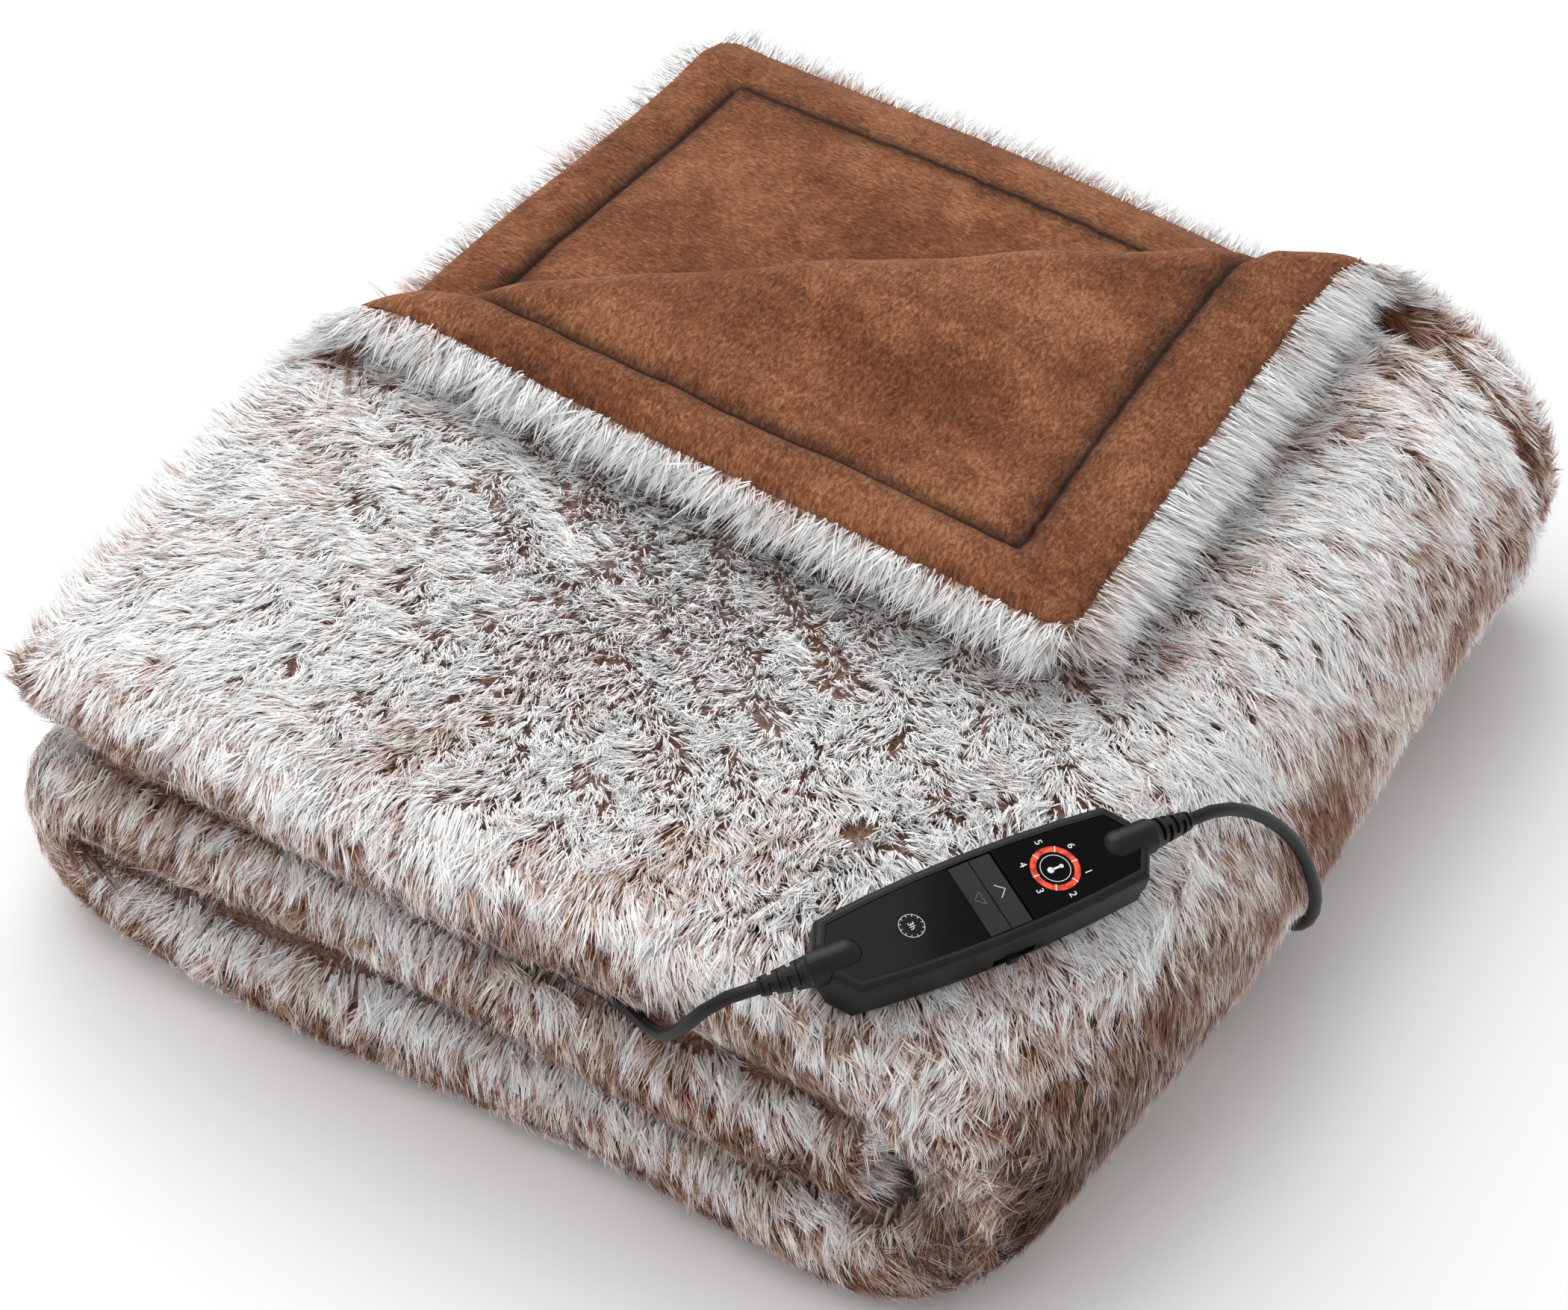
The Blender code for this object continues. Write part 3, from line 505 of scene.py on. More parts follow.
def in_handset(places):
    """Points in the handset's own frame."""
    turn = np.array(handset_frame().inverted())
    return places @ turn[:3, :3].T + turn[:3, 3]


def rounded(along, across):
    """Points of the cut, with its corners drawn in to their radius."""
    p = np.clip(ROUNDED - np.minimum(along, CUT_LENGTH - along), 0, ROUNDED)
    q = np.clip(ROUNDED - HALF_WIDTH + np.abs(across), 0, ROUNDED)
    by_along = p * (1 - np.sqrt(1 - q * q / (2 * ROUNDED**2)))
    by_across = q * (1 - np.sqrt(1 - p * p / (2 * ROUNDED**2)))
    return along + by_along * np.sign(CUT_LENGTH / 2 - along), across - by_across * np.sign(across)


def lying(along, across, out):
    """The places of points of the cloth as it lies, pressed flat under the handset."""
    along, across = rounded(along, across)
    places = settled(turned_back(along, across, out))
    top = in_handset(settled(turned_back(along, across, np.full_like(out, 0.95 * PILE))))
    outside = np.maximum(np.abs(top[..., 0]) - BODY_LENGTH / 2, np.abs(top[..., 1]) - BODY_HALF_WIDTH)
    share = (1 - smooth((outside - PRESS_MARGIN) / PRESS_FADE)) * (np.abs(top[..., 2]) < 0.6 * PILE)
    press = share * (top[..., 2] + GAP) * np.clip(out / PILE, 0, 1.1)
    return places - press[..., None] * np.array(HANDSET_OUT.normalized())


def deselect():
    bpy.ops.object.select_all(action="DESELECT")


def grid_lines(stretches):
    """The places of a grid's lines: each stretch at its own even step."""
    lines = [np.linspace(a, b, round((b - a) / step), endpoint=False) for a, b, step in stretches]
    return np.append(np.concatenate(lines), stretches[-1][1])


def cut_flat(name, lines):
    """The cut lying flat on the floor, divided along these lines."""
    along, across = (grid_lines(stretches) for stretches in lines)
    deselect()
    bpy.ops.mesh.primitive_grid_add(x_subdivisions=len(along) - 1, y_subdivisions=len(across) - 1, size=2.0)
    sheet = bpy.context.object
    sheet.name = sheet.data.name = name
    places = vertex_places(sheet)
    for axis, rows in ((0, along), (1, across)):
        places[:, axis] = np.interp(places[:, axis], np.linspace(-1, 1, len(rows)), rows)
    sheet.data.vertices.foreach_set("co", places.ravel())
    return sheet


def added(name, data, place=(0, 0, 0)):
    """A new object of this data, in the scene."""
    made = bpy.data.objects.new(name, data)
    made.location = place
    bpy.context.scene.collection.objects.link(made)
    return made


def vertex_places(sheet):
    places = np.zeros(len(sheet.data.vertices) * 3)
    sheet.data.vertices.foreach_get("co", places)
    return places.reshape(-1, 3)


def write_uv(mesh, name, points):
    """A UV map from a point for each vertex."""
    layer = mesh.uv_layers.new(name=name)
    index = np.zeros(len(mesh.loops), int)
    mesh.loops.foreach_get("vertex_index", index)
    layer.data.foreach_set("uv", points[index].astype(np.float32).ravel())


def thick_sheet(name, lines, surface, side, finish):
    """A closed sheet, laid in the folds, from the seam face to its own surface, on this side of the seam."""
    sheet = cut_flat(name, lines)
    bpy.ops.object.mode_set(mode="EDIT")
    bpy.ops.mesh.select_all(action="SELECT")
    bpy.ops.mesh.extrude_region_move(TRANSFORM_OT_translate={"value": (0, 0, 1)})
    bpy.ops.mesh.select_all(action="SELECT")
    bpy.ops.mesh.normals_make_consistent(inside=False)
    bpy.ops.object.mode_set(mode="OBJECT")
    along, across, level = vertex_places(sheet).T
    at_surface = (level > 0.5) == (side > 0)
    out = side * np.where(at_surface, surface(along, across), SEAM_GAP / 2)
    write_uv(sheet.data, "cut", np.stack((along, across), axis=-1))
    inset = sheet.data.attributes.new("from_hem", "FLOAT", "POINT")
    inset.data.foreach_set("value", from_hems(along, across).astype(np.float32))
    sheet.data.vertices.foreach_set("co", lying(along, across, out).ravel())
    sheet.data.update()
    bpy.ops.object.shade_smooth()
    sheet.data.materials.append(finish)
    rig.ride(sheet, "blanket")
    return sheet


def waves(x, y, size, seed):
    """Soft uneven values, mostly from -1 to 1, with lumps of about this size."""
    rng = np.random.default_rng(seed)
    total = np.zeros_like(x)
    for _ in range(8):
        turn, phase, warp = rng.uniform(0, 2 * math.pi, 3)
        pitch = size * rng.uniform(0.8, 1.7)
        bend = 0.9 * np.sin((x * math.sin(warp) + y * math.cos(warp)) * 2.9 / size + phase * 2)
        total += np.sin((x * math.cos(turn) + y * math.sin(turn)) * 2 * math.pi / pitch + phase + bend)
    return total / 2.6


def from_hems(along, across):
    """How far points of the cut are inside its nearest hem."""
    return np.minimum(np.minimum(along, CUT_LENGTH - along), HALF_WIDTH - np.abs(across))


def drawn_in(along, across, width):
    """How far the border seam draws the cloth in, from 0 to 1."""
    return np.exp(-(((from_hems(along, across) - SEAM_INSET) / width) ** 2))


def by_far_hem(across):
    """1 near the long hem at the back, 0 away from it, and a slope between."""
    return smooth((across - 0.5) / 0.1)


def undercoat_top(along, across):
    """How high the dense undercoat stands, drawn in at the border seam."""
    pile = PILE * (UNDERCOAT + 0.07 * waves(along, across, 0.045, 1))
    return pile * (1 - (0.35 + 0.60 * by_far_hem(across)) * drawn_in(along, across, 0.010))


def nap_top(along, across):
    """How high the plush stands: a padded roll along the hem, drawn in sharply at its seam, with puckers."""
    inside = from_hems(along, across)
    off_seam = np.abs(inside - SEAM_INSET)
    roll = np.sqrt(np.clip(1 - (2 * inside / SEAM_INSET - 1) ** 2, 0, 1))
    roll *= 1 + 0.05 * waves(along, across, 0.05, 5)
    field = (1 - np.exp(-off_seam / 0.0055)) * (0.80 + 0.26 * waves(along, across, 0.085, 2))
    pucker = np.exp(-(off_seam / 0.016) ** 2) * waves(along, across, 0.020, 6)
    return PLUSH * (0.15 + np.where(inside < SEAM_INSET, 1.10 * roll, field) + 0.14 * pucker)


def cloths():
    """The two cloths, back to back."""
    fur = thick_sheet("fur_base", FUR_LINES, undercoat_top, 1, undercoat_finish())
    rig.replaces(fur, "fur_panel")
    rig.slot(fur, "faux_fur")
    plush = thick_sheet("plush_cloth", PLUSH_LINES, nap_top, -1, plush_finish())
    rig.replaces(plush, "plush_panel")
    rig.slot(plush, "short_plush")
    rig.sheet(plush, flat=(CUT_WIDTH, CUT_LENGTH), held="folded", rests_on=["fur_panel"])
    return fur


def unit(vectors):
    return vectors / np.maximum(np.linalg.norm(vectors, axis=-1, keepdims=True), 1e-12)


def surface_at(along, across, out):
    """Places at a height in the pile, the two ways along the cloth there, and the way out of it."""
    step = 0.001
    by_along = (lying(along + step, across, out) - lying(along - step, across, out)) / (2 * step)
    by_across = (lying(along, across + step, out) - lying(along, across - step, out)) / (2 * step)
    outwards = unit(lying(along, across, out + step) - lying(along, across, out - step))
    return lying(along, across, out), by_along, by_across, outwards


def sky_seen(places, outwards):
    """How much of the sky each place sees past the CAD's fur, from 0 to about 1."""
    solid = frame["nodes"]["fur_panel"].data
    tree = BVHTree.FromPolygons([v.co for v in solid.vertices], [p.vertices[:] for p in solid.polygons])
    z = 1 - 2 * (np.arange(SKY_RAYS) + 0.5) / SKY_RAYS
    angle = np.arange(SKY_RAYS) * math.pi * (3 - math.sqrt(5))
    rays = np.stack((np.sqrt(1 - z * z) * np.cos(angle), np.sqrt(1 - z * z) * np.sin(angle), z), axis=-1)
    seen = np.zeros(len(places))
    for i, (place, facings) in enumerate(zip(places, outwards @ rays.T)):
        for ray, facing in zip(rays, facings):
            if facing > 0.05 and place[2] + FLOOR_REACH * ray[2] > 0:
                seen[i] += facing * (tree.ray_cast(Vector(place), Vector(ray), SKY_REACH)[0] is None)
    return seen * 4 / SKY_RAYS


def openness():
    """How much of the sky each place of the fur's face sees, on a grid over the cut."""
    along, across = np.meshgrid(np.linspace(0, CUT_LENGTH, 129), np.linspace(-HALF_WIDTH, HALF_WIDTH, 105))
    places, *_, outwards = surface_at(along, across, np.full(along.shape, PILE + 0.0015))
    return sky_seen(places.reshape(-1, 3), outwards.reshape(-1, 3)).reshape(along.shape)


def read_grid(grid, along, across):
    """The grid's value at points of the cut."""
    rows, columns = grid.shape
    a = np.clip(along / CUT_LENGTH * (columns - 1), 0, columns - 1.001)
    b = np.clip((across / CUT_WIDTH + 0.5) * (rows - 1), 0, rows - 1.001)
    i, j = a.astype(int), b.astype(int)
    a, b = a - i, b - j
    near = grid[j, i] * (1 - a) + grid[j, i + 1] * a
    return near * (1 - b) + (grid[j + 1, i] * (1 - a) + grid[j + 1, i + 1] * a) * b


def scattered_roots(rng, open_sky):
    """Where the locks are rooted on the cut: evenly over what can be seen of the fur's face."""
    tries = LOCKS * 9
    along = rng.uniform(0, CUT_LENGTH, tries)
    across = rng.uniform(-HALF_WIDTH, HALF_WIDTH, tries)
    seen = read_grid(open_sky, along, across)
    along, across, seen = (values[seen > 0.01] for values in (along, across, seen))
    _, by_along, by_across, _ = surface_at(along, across, np.full_like(along, LIE_HEIGHT))
    area = np.linalg.norm(np.cross(by_along, by_across), axis=-1)
    chance = smooth(seen / 0.10) * np.minimum(area, 5)
    chance *= LOCKS / chance.sum()
    kept = rng.random(len(chance)) < chance
    return along[kept], across[kept]


def tufts_on_top(places, outwards):
    """How tufty the pile is at each place, from 0 to 1: most on the middle of the top."""
    return bell(places[:, 0] + 0.02, places[:, 1] + 0.10, 0.22, 0.17) * smooth((outwards[:, 2] - 0.7) / 0.2)


def lie_of_pile(places, outwards, rng):
    """The way that the pile lies along the surface, and how tufty it is: outwards over the edges and down
    the sides, in short swirls on the middle of the top."""
    x, y, z = places.T
    lie = np.stack((x / 0.25 + 0.30, y / 0.30 - 0.45, -2.2 * (1 - np.abs(outwards[:, 2]))), axis=-1)
    lie = unit(lie - (lie * outwards).sum(1, keepdims=True) * outwards)
    tufty = tufts_on_top(places, outwards)
    swirl = (0.32 + 0.36 * tufty) * waves(x + 0.3 * z, y + z, SWIRL_SIZE, 11)
    swirl += (0.24 + 0.22 * tufty) * rng.normal(0, 1, len(x))
    turned = lie * np.cos(swirl)[:, None] + np.cross(outwards, lie) * np.sin(swirl)[:, None]
    return turned, tufty


def lock_lines(rng, along, across):
    """The root, middle and tip of each lock, and the way out of the cloth there."""
    count = len(along)
    places, by_along, by_across, outwards = surface_at(along, across, np.full(count, LIE_HEIGHT))
    lie, tufty = lie_of_pile(places, outwards, rng)
    length = LOCK_LENGTH * (1 - 0.50 * tufty) * rng.uniform(0.75, 1.2, count)
    aa, bb, ab = (by_along**2).sum(1), (by_across**2).sum(1), (by_along * by_across).sum(1)
    la, lb = (lie * by_along).sum(1) * length, (lie * by_across).sum(1) * length
    det = np.maximum(aa * bb - ab * ab, 1e-6)
    step = np.stack(((la * bb - lb * ab) / det, (lb * aa - la * ab) / det), axis=-1)

    # Near a hem the locks lean out over it
    at_hem = 1 - smooth(from_hems(along, across) / 0.020)
    ends = np.stack((along, CUT_LENGTH - along, HALF_WIDTH - across, HALF_WIDTH + across))
    hem_step = HEM_WAYS[ends.argmin(0)] + rng.normal(0, 0.30, (count, 2))
    hem_step *= (0.8 * length)[:, None]
    step += at_hem[:, None] * (hem_step - step)
    root = np.full(count, PILE * LOCK_ROOT)
    tip = PILE * (LOCK_TIP + 0.10 * tufty) * rng.uniform(0.85, 1.12, count)
    far_hem = by_far_hem(across)
    drawn = 1 - (0.15 + 0.85 * far_hem) * drawn_in(along, across, 0.012)
    drawn += 0.30 * far_hem * drawn_in(along, across + 0.020, 0.012)
    return stations_of(along, across, step, root * drawn, tip * drawn), outwards


def stations_of(along, across, step, root, tip):
    """Each lock's root, middle and tip, from its step over the cut and its heights."""
    stations = []
    for share in (0.0, 0.45, 1.0):
        height = root + (tip - root) * (1 - (1 - share) ** 2)
        stations.append(lying(*(np.array((along, across)) + step.T * share**1.25), height))
    return np.array(stations)


def hem_lines(rng):
    """The locks that stand out round the hems, where those can be seen."""
    tries = 4 * HEM_LOCKS
    lengths = np.array((CUT_WIDTH, CUT_WIDTH, CUT_LENGTH, CUT_LENGTH))
    sides = rng.choice(4, tries, p=lengths / lengths.sum())
    run = rng.random(tries)
    ways = HEM_WAYS[sides]
    along = np.choose(sides, (0.0, CUT_LENGTH, run * CUT_LENGTH, run * CUT_LENGTH))
    across = np.choose(sides, ((run - 0.5) * CUT_WIDTH, (run - 0.5) * CUT_WIDTH, HALF_WIDTH, -HALF_WIDTH))
    share = rng.random(tries)
    level = PILE * (0.2 + 0.6 * share)
    ahead, *_, outwards = surface_at(along + HEM_AHEAD * ways[:, 0], across + HEM_AHEAD * ways[:, 1], level)
    away = unit(ahead - lying(along, across, level))
    chance = smooth(sky_seen(ahead, away) / 0.12)
    kept = rng.random(tries) < chance * HEM_LOCKS / chance.sum()
    along, across, share, ways, away, outwards = (
        values[kept] for values in (along, across, share, ways, away, outwards))
    count = len(along)
    inside = rng.uniform(0, 0.008, count)[:, None] * ways
    reach = HEM_REACH * rng.uniform(0.6, 1.15, (count, 1))
    step = reach * (ways + np.clip(rng.normal(0, 0.42, (count, 2)), -0.8, 0.3))
    root = PILE * (0.03 + 0.52 * share)
    tip = PILE * (-0.12 + 1.05 * share) * rng.uniform(0.8, 1.1, count)
    stations = stations_of(along - inside[:, 0], across - inside[:, 1], step + inside, root, tip)
    return stations, unit(0.6 * away + np.array((0.0, 0.0, 0.8)) + 0.2 * outwards * share[:, None])


def tree_of(points):
    tree = KDTree(len(points))
    for i, point in enumerate(points):
        tree.insert(point, i)
    tree.balance()
    return tree


def gather(rng, stations, outwards, clumping):
    """Draws the locks together in clumps, each towards its leading lock, and gives their tints."""
    leaders = rng.permutation(stations.shape[1])[: stations.shape[1] // LOCKS_A_CLUMP]
    tree = tree_of(stations[0, leaders])
    lead = leaders[[tree.find(root)[1] for root in stations[0]]]
    facing = (outwards * outwards[lead]).sum(1) > 0.5
    near = np.linalg.norm(stations[0] - stations[0, lead], axis=1) < CLUMP_REACH
    pull = clumping * rng.uniform(0.5, 1.2, len(lead)) * facing * near
    pull *= rng.random(len(lead)) > LOOSE
    for station, share in ((1, 0.4), (2, 1.0)):
        stations[station] += (pull * share)[:, None] * (stations[station, lead] - stations[station])
    tints = rng.random(stations.shape[1])
    return 0.65 * tints[lead] + 0.35 * tints


def twinned(rng, stations, outwards, tints):
    """Each lock and a twin that strays from it."""
    stray = np.clip(rng.normal(0, 1, stations.shape), -2, 2) * LOCK_STRAY[:, None, None]
    twins = np.concatenate((stations, stations + stray), axis=1)
    return twins, np.tile(outwards, (2, 1)), np.tile(tints, 2)


def clear_of_handset(stations, cords):
    """Locks that would run into the handset are pressed under it, and those in a lead are left out."""
    for places in stations[1:]:
        local = in_handset(places)
        under = np.abs(local[:, 0]) < BODY_LENGTH / 2 + 0.004
        under &= np.abs(local[:, 1]) < BODY_HALF_WIDTH + 0.001
        deep = under & (local[:, 2] > -2 * GAP) & (local[:, 2] < COVER_TOP)
        places -= (deep * (local[:, 2] + 3 * GAP))[:, None] * np.array(HANDSET_OUT.normalized())
        places[:, 2] = np.maximum(places[:, 2], 0.0004)
    tree = tree_of(cords)
    far = np.array([min(tree.find(middle)[2], tree.find(tip)[2]) for middle, tip in zip(*stations[1:])])
    return far > LEAD_D / 2 + 0.0012


def lock_piece(name, stations, outwards, tints, rng, finish):
    """One joined mesh of fine locks: long bent diamonds that face out of the cloth."""
    root, middle, tip = stations
    count = len(root)
    side = unit(np.cross(tip - root, outwards))
    roll = rng.uniform(-0.45, 0.45, (count, 1))
    side = side * np.cos(roll) + outwards * np.sin(roll)
    half = LOCK_WIDTH / 2 * rng.uniform(0.6, 1.3, (count, 1))
    points = np.stack((root, middle - side * half, middle + side * half, tip), axis=1).reshape(-1, 3)
    points[:, 2] = np.maximum(points[:, 2], 0.0002)
    corners = np.arange(count)[:, None, None] * 4 + np.array(((0, 2, 1), (1, 2, 3)))
    mesh = bpy.data.meshes.new(name)
    mesh.from_pydata(points.tolist(), [], corners.reshape(-1, 3).tolist(), shade_flat=False)
    mesh.update(calc_edges=True)
    heights = np.tile((0.0, 0.5, 0.5, 1.0), count)
    write_uv(mesh, "lock", np.stack((np.repeat(tints, 4), heights), axis=-1))
    lean = unit(outwards + 0.25 * rng.normal(0, 1, (count, 3)))
    mesh.normals_split_custom_set_from_vertices(np.repeat(lean, 4, axis=0).tolist())
    mesh.materials.append(finish)
    piece = added(name, mesh)
    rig.ride(piece, "blanket")
    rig.slot(piece, "faux_fur")
    return piece


def fur_pile(finish, cords):
    """The pile, as a piece for each side of the stack, and one for the hems."""
    rng = np.random.default_rng(7)
    along, across = scattered_roots(rng, openness())
    stations, outwards = lock_lines(rng, along, across)
    tufty = tufts_on_top(stations[0], outwards)
    tints = gather(rng, stations, outwards, CLUMPING * (1 - 0.25 * tufty))
    # The pile shows browner on the sides, partly its own colour and partly painted shade, whiter in the top tufts,
    # partly painted light, darker in the far seam with painted shadow, and whiter along the far hem
    tints += TUFTS_WHITE_AND_LIT * tufty - SIDES_BROWN_AND_SHADE * (1 - smooth((outwards[:, 2] - 0.3) / 0.65))
    far_hem = by_far_hem(across)
    # Painted shadow: the locks are darker in the groove of the far border seam, under the roll of pile that overhangs
    # it
    tints -= 1.2 * far_hem * drawn_in(along, across, 0.011)
    tints += 0.4 * far_hem * drawn_in(along, across + 0.022, 0.012)
    stations, outwards, tints = twinned(rng, stations, outwards, tints)
    x, y = outwards[:, 0], outwards[:, 1]
    top = outwards[:, 2] > 0.6
    left = stations[0][:, 0] < -0.02
    kept = clear_of_handset(stations, cords)
    pieces = []
    for name, here in (
        ("pile_top_left", top & left),
        ("pile_top_right", top & ~left),
        ("pile_front", ~top & (-y >= np.abs(x))),
        ("pile_back", ~top & (y > np.abs(x))),
        ("pile_left", ~top & (-x > np.abs(y))),
        ("pile_right", ~top & (x >= np.abs(y))),
    ):
        here &= kept
        pieces.append(lock_piece(name, stations[:, here], outwards[here], tints[here], rng, finish))
    stations, outwards = hem_lines(rng)
    tints = 0.6 + 0.4 * gather(rng, stations, outwards, CLUMPING / 2)
    stations, outwards, tints = twinned(rng, stations, outwards, tints)
    kept = clear_of_handset(stations, cords)
    pieces.append(lock_piece("pile_hems", stations[:, kept], outwards[kept], tints[kept], rng, finish))
    return pieces


def smooth_route(places, step):
    """Points at even steps along a smooth curve through these places."""
    ends = [2 * places[0] - places[1], *places, 2 * places[-1] - places[-2]]
    fine = []
    for before, start, end, after in zip(ends, ends[1:], ends[2:], ends[3:]):
        for i in range(20):
            t = i / 20
            bend = (2 * before - 5 * start + 4 * end - after) * t
            bend += (3 * start - before - 3 * end + after) * t * t
            fine.append(start + t / 2 * (end - before + bend))
    fine.append(places[-1])
    length = sum((b - a).length for a, b in zip(fine, fine[1:]))
    count = math.ceil(length / step)
    points, walked = [fine[0]], 0.0
    for a, b in zip(fine, fine[1:]):
        walked += (b - a).length
        while walked >= len(points) * length / count and len(points) < count:
            over = walked - len(points) * length / count
            points.append(b + (a - b).normalized() * over)
    return [*points, fine[-1]]


def relief_frame(end, turn, down):
    """A strain relief's frame: its root at the origin, its axis along +X."""
    root = handset_frame() @ Matrix.Translation((end * DOME_END, 0, DOME_Z))
    turned = Matrix.Rotation(math.radians(turn), 4, "Z") @ Matrix.Rotation(math.radians(down), 4, "Y")
    return root @ turned @ Matrix.Translation((GAP, 0, 0))


def lead_points(relief, route):
    root = relief_frame(*relief[1:])
    start = [root @ Vector((RELIEF_LENGTH + reach, 0, 0)) for reach in (GAP, LEAD_STEP)]
    return smooth_route([*start, *map(Vector, route)], LEAD_STEP)


def wound_points():
    """The coil, clockwise: three turns inwards on the floor, three outwards on top, then off to the plug."""
    slots = COIL_WIDE * COIL_HIGH
    leaves = slots + ((-90 - PLUG_LEAVES_AT) % 360) / 360
    fall = LEAD_D * (COIL_HIGH - 0.5) + COIL_AT.z - PLUG_HEIGHT / 2 - GAP
    points = []
    for i in range(1, math.ceil(leaves * TURN_POINTS) + 1):
        turn = min(i / TURN_POINTS, leaves)
        steps = sum(float(smooth((turn - JOG_AT - n) / JOG_WIDTH + 0.5)) for n in range(slots - 1))
        inward = min(steps, COIL_WIDE - 1, slots - 1 - steps)
        leaving = float(smooth((turn - slots + 0.25) / 0.2))
        radius = COIL_MEAN_R + LEAD_D * ((COIL_WIDE - 1) / 2 - inward + leaving)
        height = LEAD_D / 2 + LEAD_D * float(smooth((turn - COIL_WIDE + 0.25) / 0.25))
        height -= fall * float(smooth((turn - slots + 0.07) / (leaves - slots + 0.07)))
        angle = -math.pi / 2 - 2 * math.pi * turn
        points.append(COIL_AT + Vector((radius * math.cos(angle), radius * math.sin(angle), height)))
    ahead = Vector((math.sin(angle), -math.cos(angle), 0)) * (PLUG_REACH - GAP)
    return [*points, points[-1] + ahead]


def tube(name, points, thickness, finish):
    curve = bpy.data.curves.new(name, "CURVE")
    curve.dimensions = "3D"
    curve.bevel_depth = thickness / 2
    curve.bevel_resolution = 4
    curve.use_fill_caps = True
    curve.materials.append(finish)
    spline = curve.splines.new("POLY")
    spline.points.add(len(points) - 1)
    for point, place in zip(spline.points, points):
        point.co = (*place, 1)
    spline.use_smooth = True
    made = added(name, curve)
    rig.ride(made, "blanket")
    return made


def shown_cord_points(*routes):
    """Close points along the leads and strain reliefs that lie on top of the fur."""
    points = []
    for route in routes:
        for start, end in zip(route, route[1:]):
            points += [start.lerp(end, i / 5) for i in range(5) if start.z > 0.12 or start.x > 0.25]
    for _, *turns in RELIEFS:
        points += [relief_frame(*turns) @ Vector((x * 0.002, 0, 0)) for x in range(-8, 12)]
    return points


def leads(finish):
    """The two leads, at their real lengths, and close points along what shows of them."""
    free = lead_points(RELIEFS[0], BLANKET_ROUTE)
    mains = [*lead_points(RELIEFS[1], MAINS_ROUTE), *wound_points()]
    for name, points, nodes, ending in (
        ("blanket_lead", free, ["lead_blanket"], {"far_end": "object", "lay": "loose"}),
        ("mains_lead", mains, ["lead_mains", "mains_coil"], {
            "far_end": "plug", "lay": "coiled",
            "with_pieces": ["coil_tie", "plug_body", "plug_pin_left", "plug_pin_right"]}),
    ):
        lead = tube(name, points, LEAD_D, finish)
        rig.replaces(lead, *nodes)
        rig.slot(lead, "black_rubber")
        length = sum((b - a).length for a, b in zip(points, points[1:]))
        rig.cord(lead, exit=points[0], length=length, diameter=LEAD_D, stiffness="medium", **ending)
    return shown_cord_points(free, mains)


def disc(radius, at=(0.0, 0.0), hole=0.0, sides=64):
    """A flat disc or ring, in the plane of the face."""
    bpy.ops.mesh.primitive_circle_add(vertices=sides, radius=radius, fill_type="NGON", location=(*at, 0))
    if hole:
        bpy.ops.object.mode_set(mode="EDIT")
        bpy.ops.mesh.inset(thickness=radius - hole)
        bpy.ops.mesh.delete(type="FACE")
        bpy.ops.object.mode_set(mode="OBJECT")
    return bpy.context.object


def bar(length, width, at, turn):
    """A flat bar with its middle at a place, turned in degrees."""
    bpy.ops.mesh.primitive_plane_add(size=1.0, location=(*at, 0), rotation=(0, 0, math.radians(turn)))
    bpy.context.object.scale = (length, width, 1)
    return bpy.context.object


def letters(text, size, at):
    """Flat letters that read with the mains lead's end up."""
    bpy.ops.object.text_add(location=(*at, 0), rotation=(0, 0, -math.pi / 2))
    words = bpy.context.object
    words.data.body = text
    words.data.size = size
    words.data.align_x = "CENTER"
    words.data.align_y = "CENTER"
    words.data.resolution_u = 3
    bpy.ops.object.convert(target="MESH")
    return bpy.context.object


def printed(name, parts, height, finish, body, slot="gloss_black"):
    """Joins flat marks, gives them the thickness of a print, and lays them on the face at a height."""
    deselect()
    for part in parts:
        part.select_set(True)
    bpy.context.view_layer.objects.active = parts[0]
    bpy.ops.object.transform_apply(location=True, rotation=True, scale=True)
    bpy.ops.object.join()
    marks = bpy.context.object
    marks.name = marks.data.name = name
    wall = marks.modifiers.new("print", "SOLIDIFY")
    wall.thickness = PRINT
    wall.offset = 1.0
    bpy.ops.object.modifier_apply(modifier="print")
    marks.data.transform(handset_frame() @ Matrix.Translation((0, 0, height)))
    marks.data.materials.clear()
    marks.data.materials.append(finish)
    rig.ride(marks, body)
    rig.slot(marks, slot)
    return marks


def around(radius, degrees, x):
    """A place on the face, at an angle clockwise round a point of its middle line."""
    turn = math.radians(degrees)
    return x + radius * math.cos(turn), -radius * math.sin(turn)


